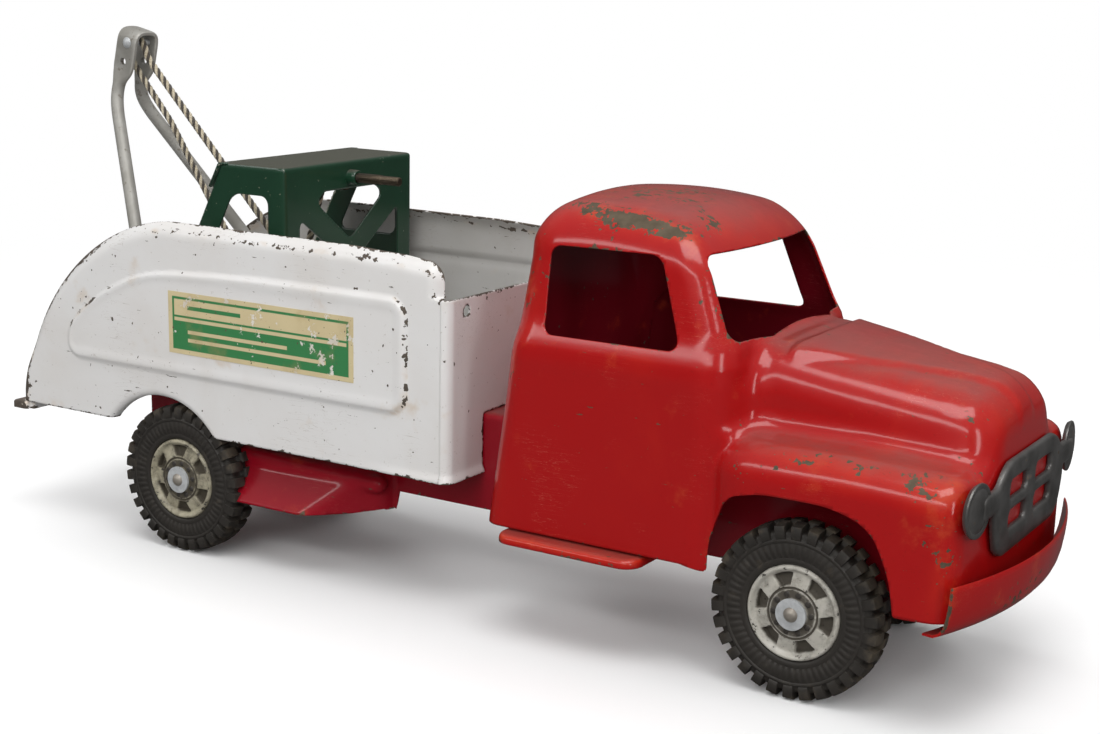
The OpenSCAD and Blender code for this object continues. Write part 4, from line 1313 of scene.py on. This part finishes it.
tyre_verts, tyre_faces = tyre_mesh()
tread = np.clip((np.hypot(tyre_verts[:, 0], tyre_verts[:, 2]) - 35) / 7, 0, 1)
hub_verts, hub_faces, grime, bare = hub_mesh()
for end, enamel, spin in (("rear", HUB_REAR, 1.1), ("front", HUB, 0.35)):
    c, s = math.cos(spin), math.sin(spin)
    rolled = hub_verts @ np.array([[c, 0, s], [0, 1, 0], [-s, 0, c]]).T
    for side, turn in (("right", [-1, -1, 1]), ("left", [1, 1, 1])):
        place, body = f"{end}_{side}", f"wheel_{end}_{side}"
        middle = sum(box_mm(f"tyre_{place}")) / 2
        tyre = make_piece(f"rubber_{place}", f"tyre_{place}", tyre_verts * turn + middle, tyre_faces,
                          [RUBBER], body, 38)
        add_values(tyre.data, tread=tread)
        hub = make_piece(f"rim_{place}", f"hub_{place}", rolled * turn + middle, hub_faces,
                         [enamel], body, 45)
        add_values(hub.data, grime=grime, bare=bare)

boom = make_piece("boom", "boom_frame", *boom_mesh(), [ALU], "boom", 35)
cut_hole(boom, (-262.3, 0, 268), 2.2, 60)

verts, faces, kinds = cord_mesh(WINCH_CORD, 1.95)
stay = make_piece("stay_cord", "winch_cord", verts, faces, [CORD, CORD_DARK], None, 60, kinds=kinds)
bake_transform(stay)

verts, faces, kinds = cord_mesh(HOOK_CORD, 1.8)
line = make_piece("hoist_cord", "hook_cord", verts, faces, [CORD, CORD_DARK], "boom", 60, kinds=kinds)
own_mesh(line)

make_piece("winch_shaft", "crank_shaft", *shaft_mesh(), [BARE], "crank", 35)


# ---------------------------------------------------------------- stage, light, camera
HORIZON, ZENITH = 0.10, 0.55             # light of the studio dome


def mixed_shader(tree, fac, first, second):
    """The first shader where fac is 0, the second where it is 1."""
    mixer = tree.nodes.new("ShaderNodeMixShader")
    for source, socket in zip((fac, first, second), mixer.inputs):
        tree.links.new(source, socket)
    return mixer.outputs[0]


def add_floor():
    """Pale floor that turns into the background's white away from the truck; it lights the truck less."""
    bpy.ops.mesh.primitive_plane_add(size=30, location=(0, 0, -0.0004))
    floor = bpy.context.object
    floor.name = "floor"
    g = Paint("floor")
    squares = [g.math("POWER", g.axis(i), 2.0) for i in (0, 1)]
    away = g.step(g.math("POWER", g.total(*squares), 0.5), 0.35, 1.3)
    g.finish((0.9, 0.9, 0.9), 0.7)
    glow = g.tree.nodes.new("ShaderNodeEmission")
    glow.inputs[0].default_value = (1, 1, 1, 1)
    dull = g.tree.nodes.new("ShaderNodeBsdfDiffuse")
    path = g.tree.nodes.new("ShaderNodeLightPath")
    g.put(dull.inputs[0], g.blend(path.outputs["Is Glossy Ray"], (0.36, 0.36, 0.36), (0.07, 0.07, 0.07)))
    pale = mixed_shader(g.tree, away, g.shader.outputs[0], glow.outputs[0])
    seen = mixed_shader(g.tree, path.outputs["Is Camera Ray"], dull.outputs[0], pale)
    g.tree.links.new(seen, g.tree.nodes["Material Output"].inputs["Surface"])
    floor.data.materials.append(g.material)


def add_light(name, place, target, size, power, shine=True):
    """Rectangular light aimed at a target; without shine it shows in no reflection."""
    data = bpy.data.lights.new(name, "AREA")
    data.shape = "RECTANGLE"
    data.size, data.size_y = size
    data.energy = power
    light = bpy.data.objects.new(name, data)
    bpy.context.scene.collection.objects.link(light)
    light.location = place
    light.visible_glossy = shine
    light.rotation_euler = (Vector(target) - Vector(place)).to_track_quat("-Z", "Y").to_euler()


def add_world():
    """White background for the camera; the light on the truck is bright overhead and dim at the horizon."""
    world = bpy.data.worlds.new("studio")
    bpy.context.scene.world = world
    world.use_nodes = True
    nodes, links = world.node_tree.nodes, world.node_tree.links
    seen = nodes.new("ShaderNodeBackground")
    seen.inputs[0].default_value = (1, 1, 1, 1)
    nodes["Background"].inputs[0].default_value = (1, 1, 1, 1)
    coords = nodes.new("ShaderNodeTexCoord")
    split = nodes.new("ShaderNodeSeparateXYZ")
    links.new(coords.outputs["Generated"], split.inputs[0])
    dome = nodes.new("ShaderNodeMapRange")
    dome.interpolation_type = "SMOOTHSTEP"
    for i, value in enumerate((0.1, 1.0, HORIZON, ZENITH)):
        dome.inputs[i + 1].default_value = value
    links.new(split.outputs[2], dome.inputs[0])
    links.new(dome.outputs[0], nodes["Background"].inputs[1])
    path = nodes.new("ShaderNodeLightPath")
    mixer = mixed_shader(world.node_tree, path.outputs["Is Camera Ray"], nodes["Background"].outputs[0],
                         seen.outputs[0])
    links.new(mixer, nodes["World Output"].inputs["Surface"])


def add_camera():
    """Camera turned by azimuth, elevation and roll, where azimuth 0 looks along +Y."""
    data = bpy.data.cameras.new("camera")
    data.sensor_width = 36
    data.lens = 58.6
    data.shift_x, data.shift_y = 0.00886, 0.0165
    cam = bpy.data.objects.new("camera", data)
    bpy.context.scene.collection.objects.link(cam)
    a, e, r = math.radians(31.84), math.radians(13.05), math.radians(1.18)
    back = Vector((math.sin(a) * math.cos(e), -math.cos(a) * math.cos(e), math.sin(e)))
    right = (-back).cross(Vector((0, 0, 1))).normalized()
    up = right.cross(-back)
    side = right * math.cos(r) + up * math.sin(r)
    top = -right * math.sin(r) + up * math.cos(r)
    m = Matrix((side, top, back)).transposed().to_4x4()
    m.translation = Vector((512.8, -785.6, 325.3)) * MM
    cam.matrix_world = m
    bpy.context.scene.camera = cam


add_floor()
add_light("key", (0.55, -0.65, 2.0), (0.05, 0, 0.1), (1.5, 0.9), 20)
add_light("strip", (1.9, -1.05, 0.75), (0.1, 0, 0.12), (0.3, 1.1), 6)
add_light("long", (-0.3, -1.75, 1.35), (-0.2, 0, 0.12), (3.4, 0.26), 14)
add_light("fill", (0.5, -2.2, 1.1), (0, 0, 0.1), (1.6, 1.2), 16, False)
add_light("front", (2.2, 0.2, 1.0), (0, 0, 0.1), (1.0, 1.0), 9, False)
add_light("left", (-0.4, 2.2, 1.2), (0, 0, 0.1), (1.6, 1.2), 22, False)
add_light("back", (-2.0, 0.3, 1.6), (0, 0, 0.1), (1.2, 1.0), 16, False)
add_world()
add_camera()
bpy.context.scene.view_settings.view_transform = "Standard"
